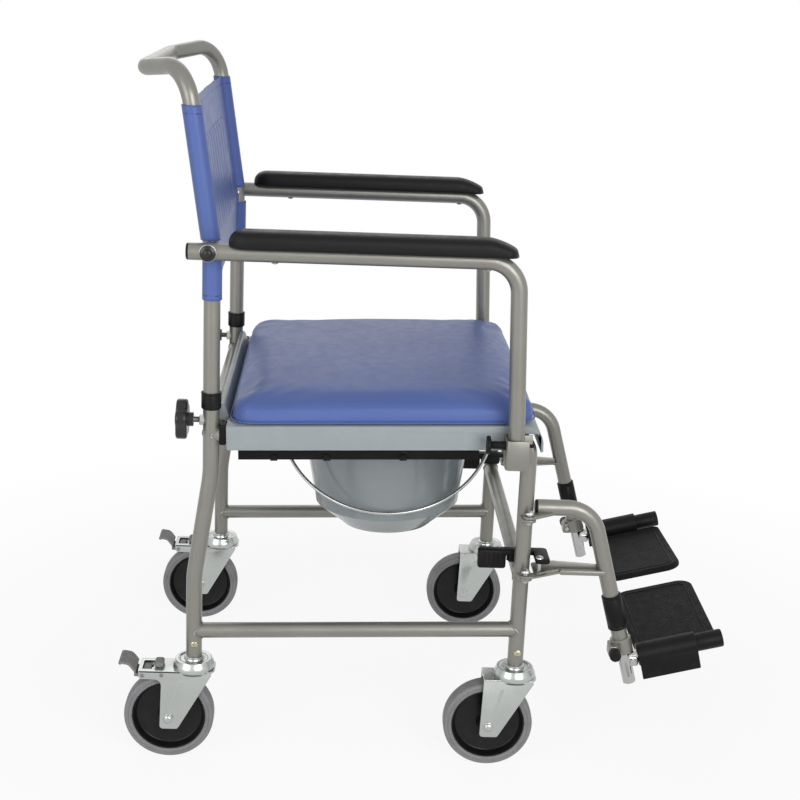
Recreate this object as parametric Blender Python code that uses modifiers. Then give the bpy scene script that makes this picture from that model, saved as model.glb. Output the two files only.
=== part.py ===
"""Wheeled commode chair: bent tube side frames, lift-off back and arms, seat board with a pan, swing-away
footrests and four castors. Metres, +Z up, the sitter faces -Y, and the sitter's right side is at -X."""

import math

import bmesh
import bpy
from mathutils import Matrix, Vector

# Placing: the datum plane is moved back so that the origin lies under the middle of the chair
DATUM_Y = 0.1467

# Fits and clearances
GAP = 0.0003
RUN = 0.0008
CLEAR = 0.0015
BITE = 0.002

# Facets
BORE_SIDES = 16
BEND_STEP = 18.0
SCREW_STEPS = 20

# Side frames
TUBE_R = 0.011
FRAME_X = 0.235
POST_Y = 0.148
REAR_FOOT_Y = 0.1695
FRONT_LEG_Y = -0.278
LEG_STAND = 0.0208
LEG_RISE = 0.0379
SWAN_DROP = 0.0609
SWAN_RISE = 0.1192
SWAN_R = 0.15
SEAT_TILT = math.radians(1.85)
RAIL_MID_Z = 0.4789
RAIL_BEND_R = 0.030
LOW_RAIL_REAR = 0.0382
LOW_RAIL_FRONT = 0.0532
CROSS_RISE = 0.1302
SCREW_RISE = 0.0192
SCREW_R = 0.005
SCREW_PROUD = 0.0015

# Back sockets, collars and star knobs
SPIGOT_WALL = 0.0018
SPIGOT_LENGTH = 0.072
COLLAR_WALL = 0.0022
COLLAR_DROP = 0.0070
COLLAR_LENGTH = 0.023
STAR_DROP = 0.0228
STAR_R = 0.0275
STAR_LOBES = 5
STAR_DIP = 0.17
STAR_THICK = 0.0152
STAR_HUB_R = 0.0095
STAR_HUB = 0.0073
STAR_STEM_R = 0.004
STAR_TIP_GAP = 0.001
STAR_STAND = 0.0080
NUT_R = 0.0075
NUT_PROUD = 0.0044

# Push bar
LEAN_DROP = 0.0065
LEAN = math.radians(8.4)
BAR_RISE = 0.2342
BAR_BACK = 0.0620
BAR_IN = 0.0922
BAR_FALL = 0.0108
LEAN_R = 0.15
TOP_BEND_R = 0.0476
BAR_BEND_R = 0.0348

# Back sling
VINYL = 0.0017
SLING_THICK = 0.0026
SLING_DROP = 0.0689
SLING_CLEAR = 0.0005
SLING_BREAK_DROP = 0.0152
SLING_BREAK_RISE = 0.0107
SLING_SAG = 0.005

# Arms
ARM_SIDE = 0.0045
ARM_PIVOT_BACK = 0.002
ARM_RISE = 0.2476
ARM_REAR = 0.028
ARM_POST_BACK = 0.0334
ARM_POST_LEAN = 0.0454
ARM_FOOT_RISE = 0.0038
ARM_BEND_R = 0.042
ARM_BOLT_R = 0.004
ARM_SPACER_R = 0.009
ARM_WASHER_R = 0.012
ARM_WASHER = 0.0015
ARM_NUT_R = 0.006
ARM_NUT = 0.005
ARM_CAP = 0.003
PAD_HALF = 0.0215
PAD_REAR_IN = 0.0254
PAD_FRONT_IN = 0.0013
PAD_SEAT = 0.006
PAD_EDGE = 0.0195
PAD_CROWN = 0.005
PAD_ROUND = 0.006

# Arm sockets and plungers
PLATE = 0.0025
SOCKET_DROP = 0.0277
SOCKET_HIGH = 0.0403
SOCKET_DEEP = 0.0303
SOCKET_WEB = 0.003
SOCKET_WEB_HIGH = 0.026
SOCKET_WEB_BACK = 0.016
PIN_RISE = 0.0308
PIN_R = 0.0025
PIN_SLOT = 0.0062
PIN_REACH = 0.0388
PIN_HOUSING_R = 0.0055
PIN_HOUSING = 0.0185
PIN_KNOB_R = 0.0125
PIN_KNOB = 0.006

# Seat board and cushion, measured from the rails' centre plane along the seat's slope
DECK = 0.004
BOARD_OVER = 0.015
BOARD_WALL = 0.0025
BOARD_BACK = 0.010
BOARD_NOSE_R = 0.025
BOARD_NOSE_WALL = 0.0035
SKIRT_LOW = -0.0175
NOSE_LOW = -0.0215
LIP_SIDE = 0.014
LIP_DEEP = 0.0125
LIP_TOP = 0.0334
HOLE_IN = 0.015
PAN_Y = -0.0925
NOTCH_TOP = 0.004
CUSHION_IN = 0.003
CUSHION_FRONT_IN = 0.007
CUSHION_EDGE = 0.034
CUSHION_CROWN = 0.011
CUSHION_ROUND = 0.009

# Pan, guides and bail, in the seat's sloping frame
GUIDE_GAP = 0.027
GUIDE_WALL = 0.0025
GUIDE_LAP = 0.0045
GUIDE_LOW = -0.0545
GUIDE_AHEAD = 0.1225
GUIDE_REAR_IN = 0.010
PAN_RIM_WIDE = 0.020
PAN_RIM = 0.003
PAN_MOUTH_R = 0.130
PAN_SHOULDER_IN = 0.011
PAN_WAIST_IN = 0.023
PAN_BASE_IN = 0.058
PAN_SHOULDER_DROP = 0.043
PAN_WAIST_DROP = 0.121
PAN_DEPTH = 0.155
PAN_WALL = 0.0025
BAIL_CLEAR = 0.007
BAIL_WIRE_R = 0.0025
BAIL_STAND = 0.00688
BAIL_PIN_R = 0.003
BAIL_EYE_R = 0.0055
BAIL_EYE = 0.004

# Footrest hangers
HINGE_OUT = 0.023
HINGE_AHEAD = 0.003
HINGE_PIN_R = 0.004
EAR = 0.004
EAR_R = 0.0092
EAR_SPAN = 0.084
EAR_RISE = 0.011
HINGE_PIN_RISE = 0.012
HINGE_PIN_DROP = 0.006
HANGER_EYE_R = 0.0085
HANGER_PLATE_AHEAD = 0.038
HANGER_RISE = 0.0085
HANGER_KNEE_AHEAD = 0.0912
HANGER_SLOPE = math.radians(15.6)
HANGER_BEND_R = 0.045
HANGER_LENGTH = 0.2175
HANGER_PLUG = 0.003
GUSSET_R = 0.004
SLEEVE_WALL = 0.0025
SLEEVE_UP = 0.0867
SLEEVE_LENGTH = 0.0615
LUG_WALL = 0.0035
LUG_LENGTH = 0.0225
LUG_EAR_BACK = 0.0205
LUG_EAR_HIGH = 0.0165
LUG_EAR_HALF = 0.009
KNOB_BACK = 0.0141
KNOB_R = 0.008
KNOB_LONG = 0.015
KNOB_BOLT_R = 0.003
KNOB_UP = 0.00466

# Release levers
LEVER_AT = 0.55
LEVER_PIN_R = 0.003
LEVER_BOSS_R = 0.0065
LEVER_RISE = 0.0176
LEVER_THICK = 0.0095
LEVER_WIDE = 0.011
LEVER_GRIP_IN = 0.022
LEVER_GRIP_WIDE = 0.015
LEVER_GRIP_BACK = 0.0614
LEVER_GRIP_DROP = 0.0194
LEVER_HEAD_R = 0.0055
LEVER_HEAD = 0.0035

# Footrest extensions and footplates
HANGER_WALL = 0.002
EXTENSION_INSERT = 0.1175
EXTENSION_PROUD = 0.0478
BLOCK_HALF = 0.013
BLOCK_GAP = 0.00128
BLOCK_HIGH = 0.020
BLOCK_BACK = 0.0210
SPINDLE_FORE = 0.0073
SPINDLE_OVER = 0.0004
SPINDLE_RISE = math.radians(14.4)
SPINDLE_R = 0.0125
SPINDLE_LENGTH = 0.1203
SPINDLE_ROOT_R = 0.008
SPINDLE_ROOT = 0.014
BARREL_WALL = 0.0035
BARREL_SHORT = 0.0373
PLATE_TOP = -0.0062
PLATE_THICK = 0.0092
PLATE_LONG = 0.1195
PLATE_INNER_X = 0.028
PLATE_CORNER_R = 0.020
PLATE_CANT = math.radians(3.0)
SKIRT_DROP = 0.032
SKIRT_WALL = 0.004

# Castors
WHEEL_R = 0.0625
TYRE_HALF = 0.0135
TYRE_ROUND = 0.005
TYRE_THICK = 0.0117
HUB_RIM = 0.006
HUB_RIM_HALF = 0.0115
HUB_BOSS_R = 0.013
TRAIL = 0.034
FORK_WALL = 0.003
FORK_HALF = 0.0203
FORK_DROP = 0.0155
FORK_CLEAR = 0.005
FORK_PLATE = 0.005
FORK_NOSE = 0.030
FORK_TOE = 0.013
FORK_HEEL = 0.010
DOME_R = 0.0285
DOME_TOP_R = 0.014
STEM_R = 0.006
STEM_LENGTH = 0.0135
AXLE_R = 0.004
AXLE_HEAD_R = 0.0075
AXLE_HEAD = 0.0045

# Brake yokes and pedals on the rear castors
YOKE_TAIL = 0.0775
YOKE_SLOT_LONG = 0.018
YOKE_SLOT_HALF = 0.010
PEDAL_IN = 0.008
PEDAL_RISE = 0.0125
PEDAL_PIN_R = 0.0025
PEDAL_BARREL_R = 0.0055
PEDAL_BARREL_SIDE = 0.0018
PEDAL_EAR_R = 0.0065
PEDAL_LONG = 0.027
PEDAL_HALF = 0.019
PEDAL_THICK = 0.009
PEDAL_LIFT = 0.011
PEDAL_RIBS = 4
PEDAL_RIB = 0.0015

# Values that follow from the sizes above
BORE_R = TUBE_R + GAP
RAIL_R = TUBE_R - GAP
RAIL_FALL = math.tan(SEAT_TILT)

# Heights from the floor up to the legs' feet
FORK_PLATE_Z = 2 * WHEEL_R + FORK_CLEAR
FORK_LOW_Z = WHEEL_R - FORK_DROP
PEDAL_Z = FORK_PLATE_Z + PEDAL_RISE
PEDAL_AT = YOKE_TAIL - PEDAL_IN
PEDAL_END = YOKE_TAIL + PEDAL_LONG
HUB_R = WHEEL_R - TYRE_THICK
HUB_BOSS_HALF = FORK_HALF - FORK_WALL - RUN
PEDAL_BARREL_HALF = FORK_HALF - FORK_WALL - PEDAL_BARREL_SIDE
LEG_FOOT_Z = FORK_PLATE_Z + LEG_STAND
SCREW_Z = LEG_FOOT_Z + SCREW_RISE
SWAN_LOW_Z = LEG_FOOT_Z + SWAN_RISE
LOW_RAIL_REAR_Z = LEG_FOOT_Z + LOW_RAIL_REAR
LOW_RAIL_FRONT_Z = LEG_FOOT_Z + LOW_RAIL_FRONT
CROSS_Z = LEG_FOOT_Z + CROSS_RISE

# Heights from the seat rails up
SWAN_TOP_Z = RAIL_MID_Z - SWAN_DROP
LEG_TOP_Z = RAIL_MID_Z + LEG_RISE
COLLAR_LOW_Z = LEG_TOP_Z - COLLAR_DROP
STAR_Z = LEG_TOP_Z - STAR_DROP
SOCKET_LOW_Z = RAIL_MID_Z - SOCKET_DROP
PIN_Z = SOCKET_LOW_Z + PIN_RISE
ARM_FOOT_Z = SOCKET_LOW_Z + ARM_FOOT_RISE
ARM_Z = RAIL_MID_Z + ARM_RISE
PAD_LOW_Z = ARM_Z + PAD_SEAT
LEAN_Z = ARM_Z - LEAN_DROP
BAR_Z = LEAN_Z + BAR_RISE
BAR_TURN = Vector((-BAR_IN, BAR_BACK, -BAR_FALL)).angle(Vector((0, math.sin(LEAN), math.cos(LEAN))))
BAR_BEND_Z = BAR_Z - TOP_BEND_R * math.tan(BAR_TURN / 2) * math.cos(LEAN)
SLING_LOW_Z = ARM_Z - SLING_DROP
SLING_BREAK_LOW_Z = ARM_Z - SLING_BREAK_DROP
SLING_BREAK_TOP_Z = ARM_Z + SLING_BREAK_RISE
SLING_TOP_Z = BAR_BEND_Z - SLING_CLEAR

# Sizes round the frame tubes
SPIGOT_R = TUBE_R - SPIGOT_WALL
COLLAR_R = TUBE_R + COLLAR_WALL
SLEEVE_R = TUBE_R + SLEEVE_WALL
LUG_R = TUBE_R + LUG_WALL
STAR_STEM = NUT_PROUD + STAR_STAND - STAR_TIP_GAP
EXTENSION_R = TUBE_R - HANGER_WALL
BARREL_R = SPINDLE_R + BARREL_WALL
BARREL_LENGTH = SPINDLE_LENGTH - BARREL_SHORT

# Seat board, cushion and pan
BOARD_HALF = FRAME_X + BOARD_OVER
BOARD_FRONT_Y = FRONT_LEG_Y - TUBE_R - CLEAR - BOARD_NOSE_WALL
BOARD_REAR_Y = POST_Y - TUBE_R - BOARD_BACK
LIP_HALF = FRAME_X - TUBE_R - LIP_SIDE
DECK_LOW = RAIL_R + GAP
DECK_TOP = DECK_LOW + DECK
CUSHION_HALF = BOARD_HALF - CUSHION_IN
CUSHION_FRONT_Y = BOARD_FRONT_Y + CUSHION_FRONT_IN
PAN_RIM_R = PAN_MOUTH_R + PAN_RIM_WIDE
PAN_SHOULDER_R = PAN_MOUTH_R - PAN_SHOULDER_IN
PAN_WAIST_R = PAN_MOUTH_R - PAN_WAIST_IN
PAN_BASE_R = PAN_MOUTH_R - PAN_BASE_IN
HOLE_R = PAN_MOUTH_R - HOLE_IN
GUIDE_X = PAN_RIM_R + GUIDE_GAP
GUIDE_FLANGE = GUIDE_WALL + GUIDE_GAP + GUIDE_LAP
GUIDE_FRONT_Y = PAN_Y - GUIDE_AHEAD
GUIDE_REAR_Y = BOARD_REAR_Y - GUIDE_REAR_IN
RIM_LOW = GUIDE_LOW + GUIDE_WALL + GAP
BAIL_PIVOT = RIM_LOW + PAN_RIM / 2
BAIL_R = PAN_RIM_R + BAIL_CLEAR
BAIL_REST = math.asin((PAN_WAIST_R + BAIL_STAND) / BAIL_R)

# Arms and their sockets
ARM_X = BOARD_HALF + CLEAR + SOCKET_WEB + ARM_SIDE + TUBE_R
ARM_PIVOT_Y = POST_Y + ARM_PIVOT_BACK
ARM_POST_Y = FRONT_LEG_Y + ARM_POST_BACK
PAD_REAR_Y = ARM_PIVOT_Y - PAD_REAR_IN
PAD_FRONT_Y = ARM_POST_Y + PAD_FRONT_IN
SOCKET_TOP_Z = SOCKET_LOW_Z + SOCKET_HIGH
SOCKET_REAR_Y = ARM_POST_Y - (ARM_Z - SOCKET_TOP_Z) * ARM_POST_LEAN + TUBE_R + RUN + PLATE
NOTCH_REAR_Y = SOCKET_REAR_Y

# Footrests
HINGE_X = FRAME_X + HINGE_OUT
HINGE_Y = FRONT_LEG_Y - HINGE_AHEAD
EAR_LOW_Z = CROSS_Z + EAR_RISE
EAR_TOP_Z = EAR_LOW_Z + EAR_SPAN
HANGER_Z = EAR_TOP_Z + HANGER_RISE
HANGER_PLATE_Y = FRONT_LEG_Y - HANGER_PLATE_AHEAD
DOWN = Vector((0, -math.sin(HANGER_SLOPE), -math.cos(HANGER_SLOPE)))
AHEAD = Vector((0, -math.cos(SPINDLE_RISE), math.sin(SPINDLE_RISE)))
ABOVE = Vector((0, math.sin(SPINDLE_RISE), math.cos(SPINDLE_RISE)))
KNEE = Vector((FRAME_X, FRONT_LEG_Y - HANGER_KNEE_AHEAD, HANGER_Z))
SLEEVE_START = HANGER_LENGTH - SLEEVE_UP
EXTENSION_START = HANGER_LENGTH - EXTENSION_INSERT
EXTENSION_END = HANGER_LENGTH + EXTENSION_PROUD
EXTENSION_FOOT = KNEE + DOWN * EXTENSION_END
KNOB_Z = KNEE.z + DOWN.z * (HANGER_LENGTH - KNOB_UP)
LEVER_LOW_Z = EAR_LOW_Z + GAP + EAR + LEVER_RISE
LEVER_GRIP_X = FRAME_X - LEVER_GRIP_IN
LEVER_GRIP_REAR_Y = FRONT_LEG_Y + LEVER_GRIP_BACK
LEVER_GRIP_LOW_Z = LEVER_LOW_Z - LEVER_GRIP_DROP
BLOCK_TOP_Z = KNOB_Z - LUG_EAR_HIGH / 2 - BLOCK_GAP
BLOCK_LOW_Z = BLOCK_TOP_Z - BLOCK_HIGH
BLOCK_REAR_Y = EXTENSION_FOOT.y + BLOCK_BACK
SPINDLE_Y = EXTENSION_FOOT.y - SPINDLE_FORE
SPINDLE_Z = BLOCK_TOP_Z + SPINDLE_OVER
SPINDLE = Vector((FRAME_X, SPINDLE_Y, SPINDLE_Z))


def rail_z(y):
    """Height of the upper rails' centre line."""
    return RAIL_MID_Z - y * RAIL_FALL


def post_y(z):
    """Centre line of the back posts, upright to LEAN_Z and leaning back above it."""
    return POST_Y + max(0.0, z - LEAN_Z) * math.tan(LEAN)


def arm_post_y(z):
    """Centre line of the arm's front post."""
    return ARM_POST_Y - (ARM_Z - z) * ARM_POST_LEAN


def hanger_point(distance):
    """Point on the footrest hanger's sloping axis, measured from the knee."""
    return KNEE + DOWN * distance


def spindle_point(ahead, above=0.0):
    """Point in the upright plane through the footplate's spindle."""
    return SPINDLE + AHEAD * ahead + ABOVE * above


for old in list(bpy.data.objects):
    bpy.data.objects.remove(old, do_unlink=True)

scene = bpy.context.scene
chair = bpy.data.collections.new("wheeled_commode_chair")
scene.collection.children.link(chair)


def material(name, colour, roughness, metallic=0.0):
    made = bpy.data.materials.new(name)
    made.use_nodes = True
    shader = made.node_tree.nodes["Principled BSDF"]
    shader.inputs["Base Color"].default_value = (*colour, 1.0)
    shader.inputs["Roughness"].default_value = roughness
    shader.inputs["Metallic"].default_value = metallic
    return made


TUBE_PAINT = material("tube_paint", (0.31, 0.30, 0.26), 0.38, 0.6)
BLACK_PLASTIC = material("black_plastic", (0.02, 0.02, 0.021), 0.55)
BLACK_PAD = material("black_pad", (0.03, 0.03, 0.032), 0.6)
BLUE_VINYL = material("blue_vinyl", (0.09, 0.155, 0.50), 0.5)
BOARD_GREY = material("board_grey", (0.33, 0.37, 0.39), 0.5)
PAN_GREY = material("pan_grey", (0.19, 0.22, 0.23), 0.3)
TYRE_GREY = material("tyre_grey", (0.2, 0.2, 0.21), 0.8)
ZINC = material("zinc", (0.58, 0.6, 0.6), 0.3, 1.0)
CHROME = material("chrome", (0.75, 0.76, 0.77), 0.15, 1.0)
PEDAL_GREY = material("pedal_grey", (0.35, 0.36, 0.37), 0.5)


def hold(mesh):
    """A new object for a mesh, in the chair's collection."""
    made = bpy.data.objects.new("piece", mesh)
    chair.objects.link(made)
    return made


def from_bmesh(shape):
    mesh = bpy.data.meshes.new("piece")
    shape.to_mesh(mesh)
    shape.free()
    return hold(mesh)


def drop(obj):
    bpy.data.objects.remove(obj, do_unlink=True)


def baked(obj, weld=True):
    """The object's evaluated shape as a plain mesh, with a curve's loose caps welded to it."""
    bpy.context.view_layer.update()
    graph = bpy.context.evaluated_depsgraph_get()
    mesh = bpy.data.meshes.new_from_object(obj.evaluated_get(graph))
    mesh.transform(obj.matrix_world)
    if weld:
        shape = bmesh.new()
        shape.from_mesh(mesh)
        bmesh.ops.remove_doubles(shape, verts=shape.verts, dist=1e-6)
        shape.to_mesh(mesh)
        shape.free()
    drop(obj)
    return hold(mesh)


def box(low, high):
    """A block between two corners."""
    shape = bmesh.new()
    bmesh.ops.create_cube(shape, size=1.0)
    low, high = Vector(low), Vector(high)
    size = high - low
    bmesh.ops.scale(shape, vec=size, verts=shape.verts)
    bmesh.ops.translate(shape, vec=(low + high) / 2, verts=shape.verts)
    return from_bmesh(shape)


def rod(start, end, radius, sides=12, end_radius=None):
    """A cylinder or cone between two points."""
    start, end = Vector(start), Vector(end)
    along = end - start
    shape = bmesh.new()
    bmesh.ops.create_cone(
        shape, cap_ends=True, segments=sides, radius1=radius,
        radius2=radius if end_radius is None else end_radius, depth=along.length,
    )
    turn = Vector((0, 0, 1)).rotation_difference(along).to_matrix().to_4x4()
    bmesh.ops.transform(shape, matrix=Matrix.Translation((start + end) / 2) @ turn, verts=shape.verts)
    return from_bmesh(shape)


def tube(points, radius, resolution=3):
    """A round tube with flat ends along a run of points."""
    curve = bpy.data.curves.new("run", "CURVE")
    curve.dimensions = "3D"
    curve.bevel_depth = radius
    curve.bevel_resolution = resolution
    curve.use_fill_caps = True
    spline = curve.splines.new("POLY")
    spline.points.add(len(points) - 1)
    for slot, point in zip(spline.points, points):
        slot.co = (*point, 1.0)
    return baked(hold(curve))


def slab(outline, thickness, frame):
    """A flat outline given a thickness either side of its plane, then placed by a matrix."""
    curve = bpy.data.curves.new("outline", "CURVE")
    curve.dimensions = "2D"
    curve.fill_mode = "BOTH"
    curve.extrude = thickness / 2
    spline = curve.splines.new("POLY")
    spline.points.add(len(outline) - 1)
    for slot, (x, y) in zip(spline.points, outline):
        slot.co = (x, y, 0.0, 1.0)
    spline.use_cyclic_u = True
    made = hold(curve)
    made.matrix_world = frame
    return baked(made)


def flat_at(z):
    return Matrix.Translation((0, 0, z))


def upright_at(x):
    """A plane across X: the outline's first number runs along Y and its second along Z."""
    return Matrix(((0, 0, 1, x), (1, 0, 0, 0), (0, 1, 0, 0), (0, 0, 0, 1)))


def across_at(y):
    """A plane across Y: the outline's first number runs along X and its second along Z."""
    return Matrix(((1, 0, 0, 0), (0, 0, -1, y), (0, 1, 0, 0), (0, 0, 0, 1)))


def turned(profile, centre, turn, steps=SCREW_STEPS):
    """A profile of (radius, height) pairs swept a full turn, from the top of its outside to the axis."""
    shape = bmesh.new()
    dots = [shape.verts.new((radius, 0, height)) for radius, height in profile]
    for first, second in zip(dots, dots[1:]):
        shape.edges.new((first, second))
    if profile[0][0] > 0 and profile[-1][0] > 0:
        shape.edges.new((dots[-1], dots[0]))
    made = from_bmesh(shape)
    screw = made.modifiers.new("turn", "SCREW")
    screw.steps = steps
    screw.render_steps = steps
    screw.use_merge_vertices = True
    screw.merge_threshold = 0.00001
    made.matrix_world = Matrix.Translation(centre) @ turn
    return baked(made)


def combined(base, others, operation):
    for other in others:
        step = base.modifiers.new("join", "BOOLEAN")
        step.operation = operation
        step.solver = "EXACT"
        step.object = other
    done = baked(base, False)
    for other in others:
        drop(other)
    return done


def fused(first, *others):
    return combined(first, others, "UNION")


def carved(first, *cutters):
    return combined(first, cutters, "DIFFERENCE")


def bevelled(obj, width, segments=2, angle=40.0):
    """Rounded edges wherever two faces meet at more than the angle."""
    edge = obj.modifiers.new("round", "BEVEL")
    edge.width = width
    edge.segments = segments
    edge.limit_method = "ANGLE"
    edge.angle_limit = math.radians(angle)
    return baked(obj)


def rounded(points, radii, step=BEND_STEP):
    """The corner points with an arc of each radius between the straight runs."""
    points = [Vector(point) for point in points]
    path = [points[0]]
    for before, corner, after, radius in zip(points, points[1:], points[2:], radii):
        back = (before - corner).normalized()
        on = (after - corner).normalized()
        turn = math.pi - back.angle(on)
        reach = radius * math.tan(turn / 2)
        centre = corner + (back + on).normalized() * (radius / math.cos(turn / 2))
        arm = corner + back * reach - centre
        axis = arm.cross(corner + on * reach - centre).normalized()
        count = max(2, round(math.degrees(turn) / step))
        for i in range(count + 1):
            path.append(centre + Matrix.Rotation(turn * i / count, 3, axis) @ arm)
    path.append(points[-1])
    return path


def arc(centre, radius, start, end, count):
    """Points on a circle between two angles in degrees."""
    found = []
    for i in range(count + 1):
        angle = math.radians(start + (end - start) * i / count)
        found.append((centre[0] + radius * math.cos(angle), centre[1] + radius * math.sin(angle)))
    return found


def link_outline(first, first_r, second, second_r, count=8):
    """The outline round two circles of different size."""
    along = Vector(second) - Vector(first)
    heading = math.degrees(math.atan2(along.y, along.x))
    wrap = math.degrees(math.acos((first_r - second_r) / along.length))
    return arc(first, first_r, heading + wrap, heading + 360 - wrap, count) + arc(
        second, second_r, heading - wrap, heading + wrap, count
    )


def rounded_corners(corners, radii, step=20.0):
    """A flat outline with each corner rounded."""
    ring = [Vector((x, y, 0)) for x, y in corners]
    found = []
    for i, radius in enumerate(radii):
        if radius == 0:
            found.append((ring[i].x, ring[i].y))
            continue
        run = rounded((ring[i - 1], ring[i], ring[(i + 1) % len(ring)]), (radius,), step)
        found += [(point.x, point.y) for point in run[1:-1]]
    return found


def place(obj, name, look, parent, pivot=(0, 0, 0)):
    """Names a finished piece, gives it its material and puts its origin on its joint."""
    obj.name = name
    mesh = obj.data
    mesh.name = name
    mesh.materials.clear()
    mesh.materials.append(look)
    mesh.transform(Matrix.Translation(-Vector(pivot)))
    mesh.shade_smooth()
    mesh.set_sharp_from_angle(angle=math.radians(35))
    obj.parent = parent
    obj.location = Vector(pivot)
    return obj


def pair(obj, name, look, parent, pivot=(0, 0, 0)):
    """Places a left-hand piece and its mirrored right-hand twin."""
    twin = hold(obj.data.copy())
    twin.data.transform(Matrix.Scale(-1, 4, (1, 0, 0)))
    twin.data.flip_normals()
    left = place(obj, name + "_left", look, parent, pivot)
    mirrored = Vector(pivot)
    mirrored.x = -mirrored.x
    right = place(twin, name + "_right", look, parent, mirrored)
    return right, left


def empty(name, location, tilt=0.0, parent=None):
    made = bpy.data.objects.new(name, None)
    chair.objects.link(made)
    made.location = location
    made.rotation_euler = (tilt, 0, 0)
    made.parent = parent
    return made


datum = empty("chair_datum", (0, DATUM_Y, 0))
seat = empty("seat_datum", (0, 0, RAIL_MID_Z), -SEAT_TILT, datum)

# Side frames: one bent tube for the front leg and upper rail, one for the rear leg, and a lower rail
front_tube = tube(
    rounded(
        [
            (FRAME_X, POST_Y, rail_z(POST_Y)),
            (FRAME_X, FRONT_LEG_Y, rail_z(FRONT_LEG_Y)),
            (FRAME_X, FRONT_LEG_Y, LEG_FOOT_Z),
        ],
        (RAIL_BEND_R,),
    ),
    RAIL_R,
)
rear_tube = tube(
    rounded(
        [
            (FRAME_X, POST_Y, LEG_TOP_Z),
            (FRAME_X, POST_Y, SWAN_TOP_Z),
            (FRAME_X, REAR_FOOT_Y, SWAN_LOW_Z),
            (FRAME_X, REAR_FOOT_Y, LEG_FOOT_Z),
        ],
        (SWAN_R, SWAN_R),
    ),
    TUBE_R,
)
low_rail = tube(
    [(FRAME_X, REAR_FOOT_Y, LOW_RAIL_REAR_Z), (FRAME_X, FRONT_LEG_Y, LOW_RAIL_FRONT_Z)], RAIL_R
)
frame_parts = [rear_tube, low_rail]

# Castor stems and cross-head screws in the legs' feet
for leg_y in (REAR_FOOT_Y, FRONT_LEG_Y):
    frame_parts.append(
        rod((FRAME_X, leg_y, LEG_FOOT_Z - STEM_LENGTH), (FRAME_X, leg_y, LEG_FOOT_Z + BITE), STEM_R)
    )
    frame_parts.append(
        rod((FRAME_X, leg_y, SCREW_Z), (FRAME_X + TUBE_R + SCREW_PROUD, leg_y, SCREW_Z), SCREW_R, 10)
    )

# Hinge ears for the footrest hangers, with their upright pins
for ear_z in (EAR_TOP_Z, EAR_LOW_Z):
    outline = link_outline((HINGE_X, HINGE_Y), EAR_R, (FRAME_X, FRONT_LEG_Y), EAR_R - 2 * RUN, 7)
    frame_parts.append(slab(outline, EAR, flat_at(ear_z - EAR / 2)))
    frame_parts.append(
        rod(
            (HINGE_X, HINGE_Y, ear_z - EAR - HINGE_PIN_DROP),
            (HINGE_X, HINGE_Y, ear_z + HINGE_PIN_RISE),
            HINGE_PIN_R,
            12,
        )
    )

# Arm socket: an open-fronted folded bracket outboard of the front leg
socket_out = ARM_X + TUBE_R + RUN
web_in = BOARD_HALF + CLEAR
web_out = web_in + SOCKET_WEB
wall_y = SOCKET_REAR_Y - PLATE
socket_front = wall_y - SOCKET_DEEP
folded = [
    (web_in, FRONT_LEG_Y - TUBE_R / 2),
    (web_out, FRONT_LEG_Y - TUBE_R / 2),
    (web_out, wall_y),
    (socket_out, wall_y),
    (socket_out, socket_front),
    (socket_out + PLATE, socket_front),
    (socket_out + PLATE, SOCKET_REAR_Y),
    (web_in, SOCKET_REAR_Y),
]
frame_parts += [
    box(
        (FRAME_X, FRONT_LEG_Y - TUBE_R / 2 + RUN, SOCKET_LOW_Z + RUN),
        (web_in + BITE, FRONT_LEG_Y + SOCKET_WEB_BACK, SOCKET_LOW_Z + SOCKET_WEB_HIGH),
    ),
    slab(folded, SOCKET_HIGH, flat_at(SOCKET_LOW_Z + SOCKET_HIGH / 2)),
    box(
        (web_in + GAP, socket_front + GAP, SOCKET_LOW_Z + GAP),
        (socket_out + PLATE - GAP, SOCKET_REAR_Y - GAP, SOCKET_LOW_Z + PLATE),
    ),
    rod(
        (ARM_X, SOCKET_REAR_Y - PLATE / 2, PIN_Z),
        (ARM_X, SOCKET_REAR_Y + PIN_HOUSING, PIN_Z),
        PIN_HOUSING_R,
        6,
    ),
]

# Weld nut for the star knob behind the rear leg
star_face = POST_Y + TUBE_R
frame_parts.append(
    rod((FRAME_X, POST_Y + TUBE_R / 2, STAR_Z), (FRAME_X, star_face + NUT_PROUD, STAR_Z), NUT_R, 6)
)

side = fused(front_tube, *frame_parts)
side = carved(
    side,
    rod(
        (FRAME_X, POST_Y, LEG_TOP_Z - SPIGOT_LENGTH - CLEAR),
        (FRAME_X, POST_Y, LEG_TOP_Z + BITE),
        SPIGOT_R + GAP,
        BORE_SIDES,
    ),
    rod(
        (FRAME_X, star_face + GAP, STAR_Z),
        (FRAME_X, star_face + NUT_PROUD + BITE, STAR_Z),
        STAR_STEM_R + GAP,
        BORE_SIDES,
    ),
    rod(
        (ARM_X, SOCKET_REAR_Y - PLATE - BITE, PIN_Z),
        (ARM_X, SOCKET_REAR_Y + PIN_HOUSING + BITE, PIN_Z),
        PIN_R + GAP,
        BORE_SIDES,
    ),
)
pair(side, "frame_side", TUBE_PAINT, datum)

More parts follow.
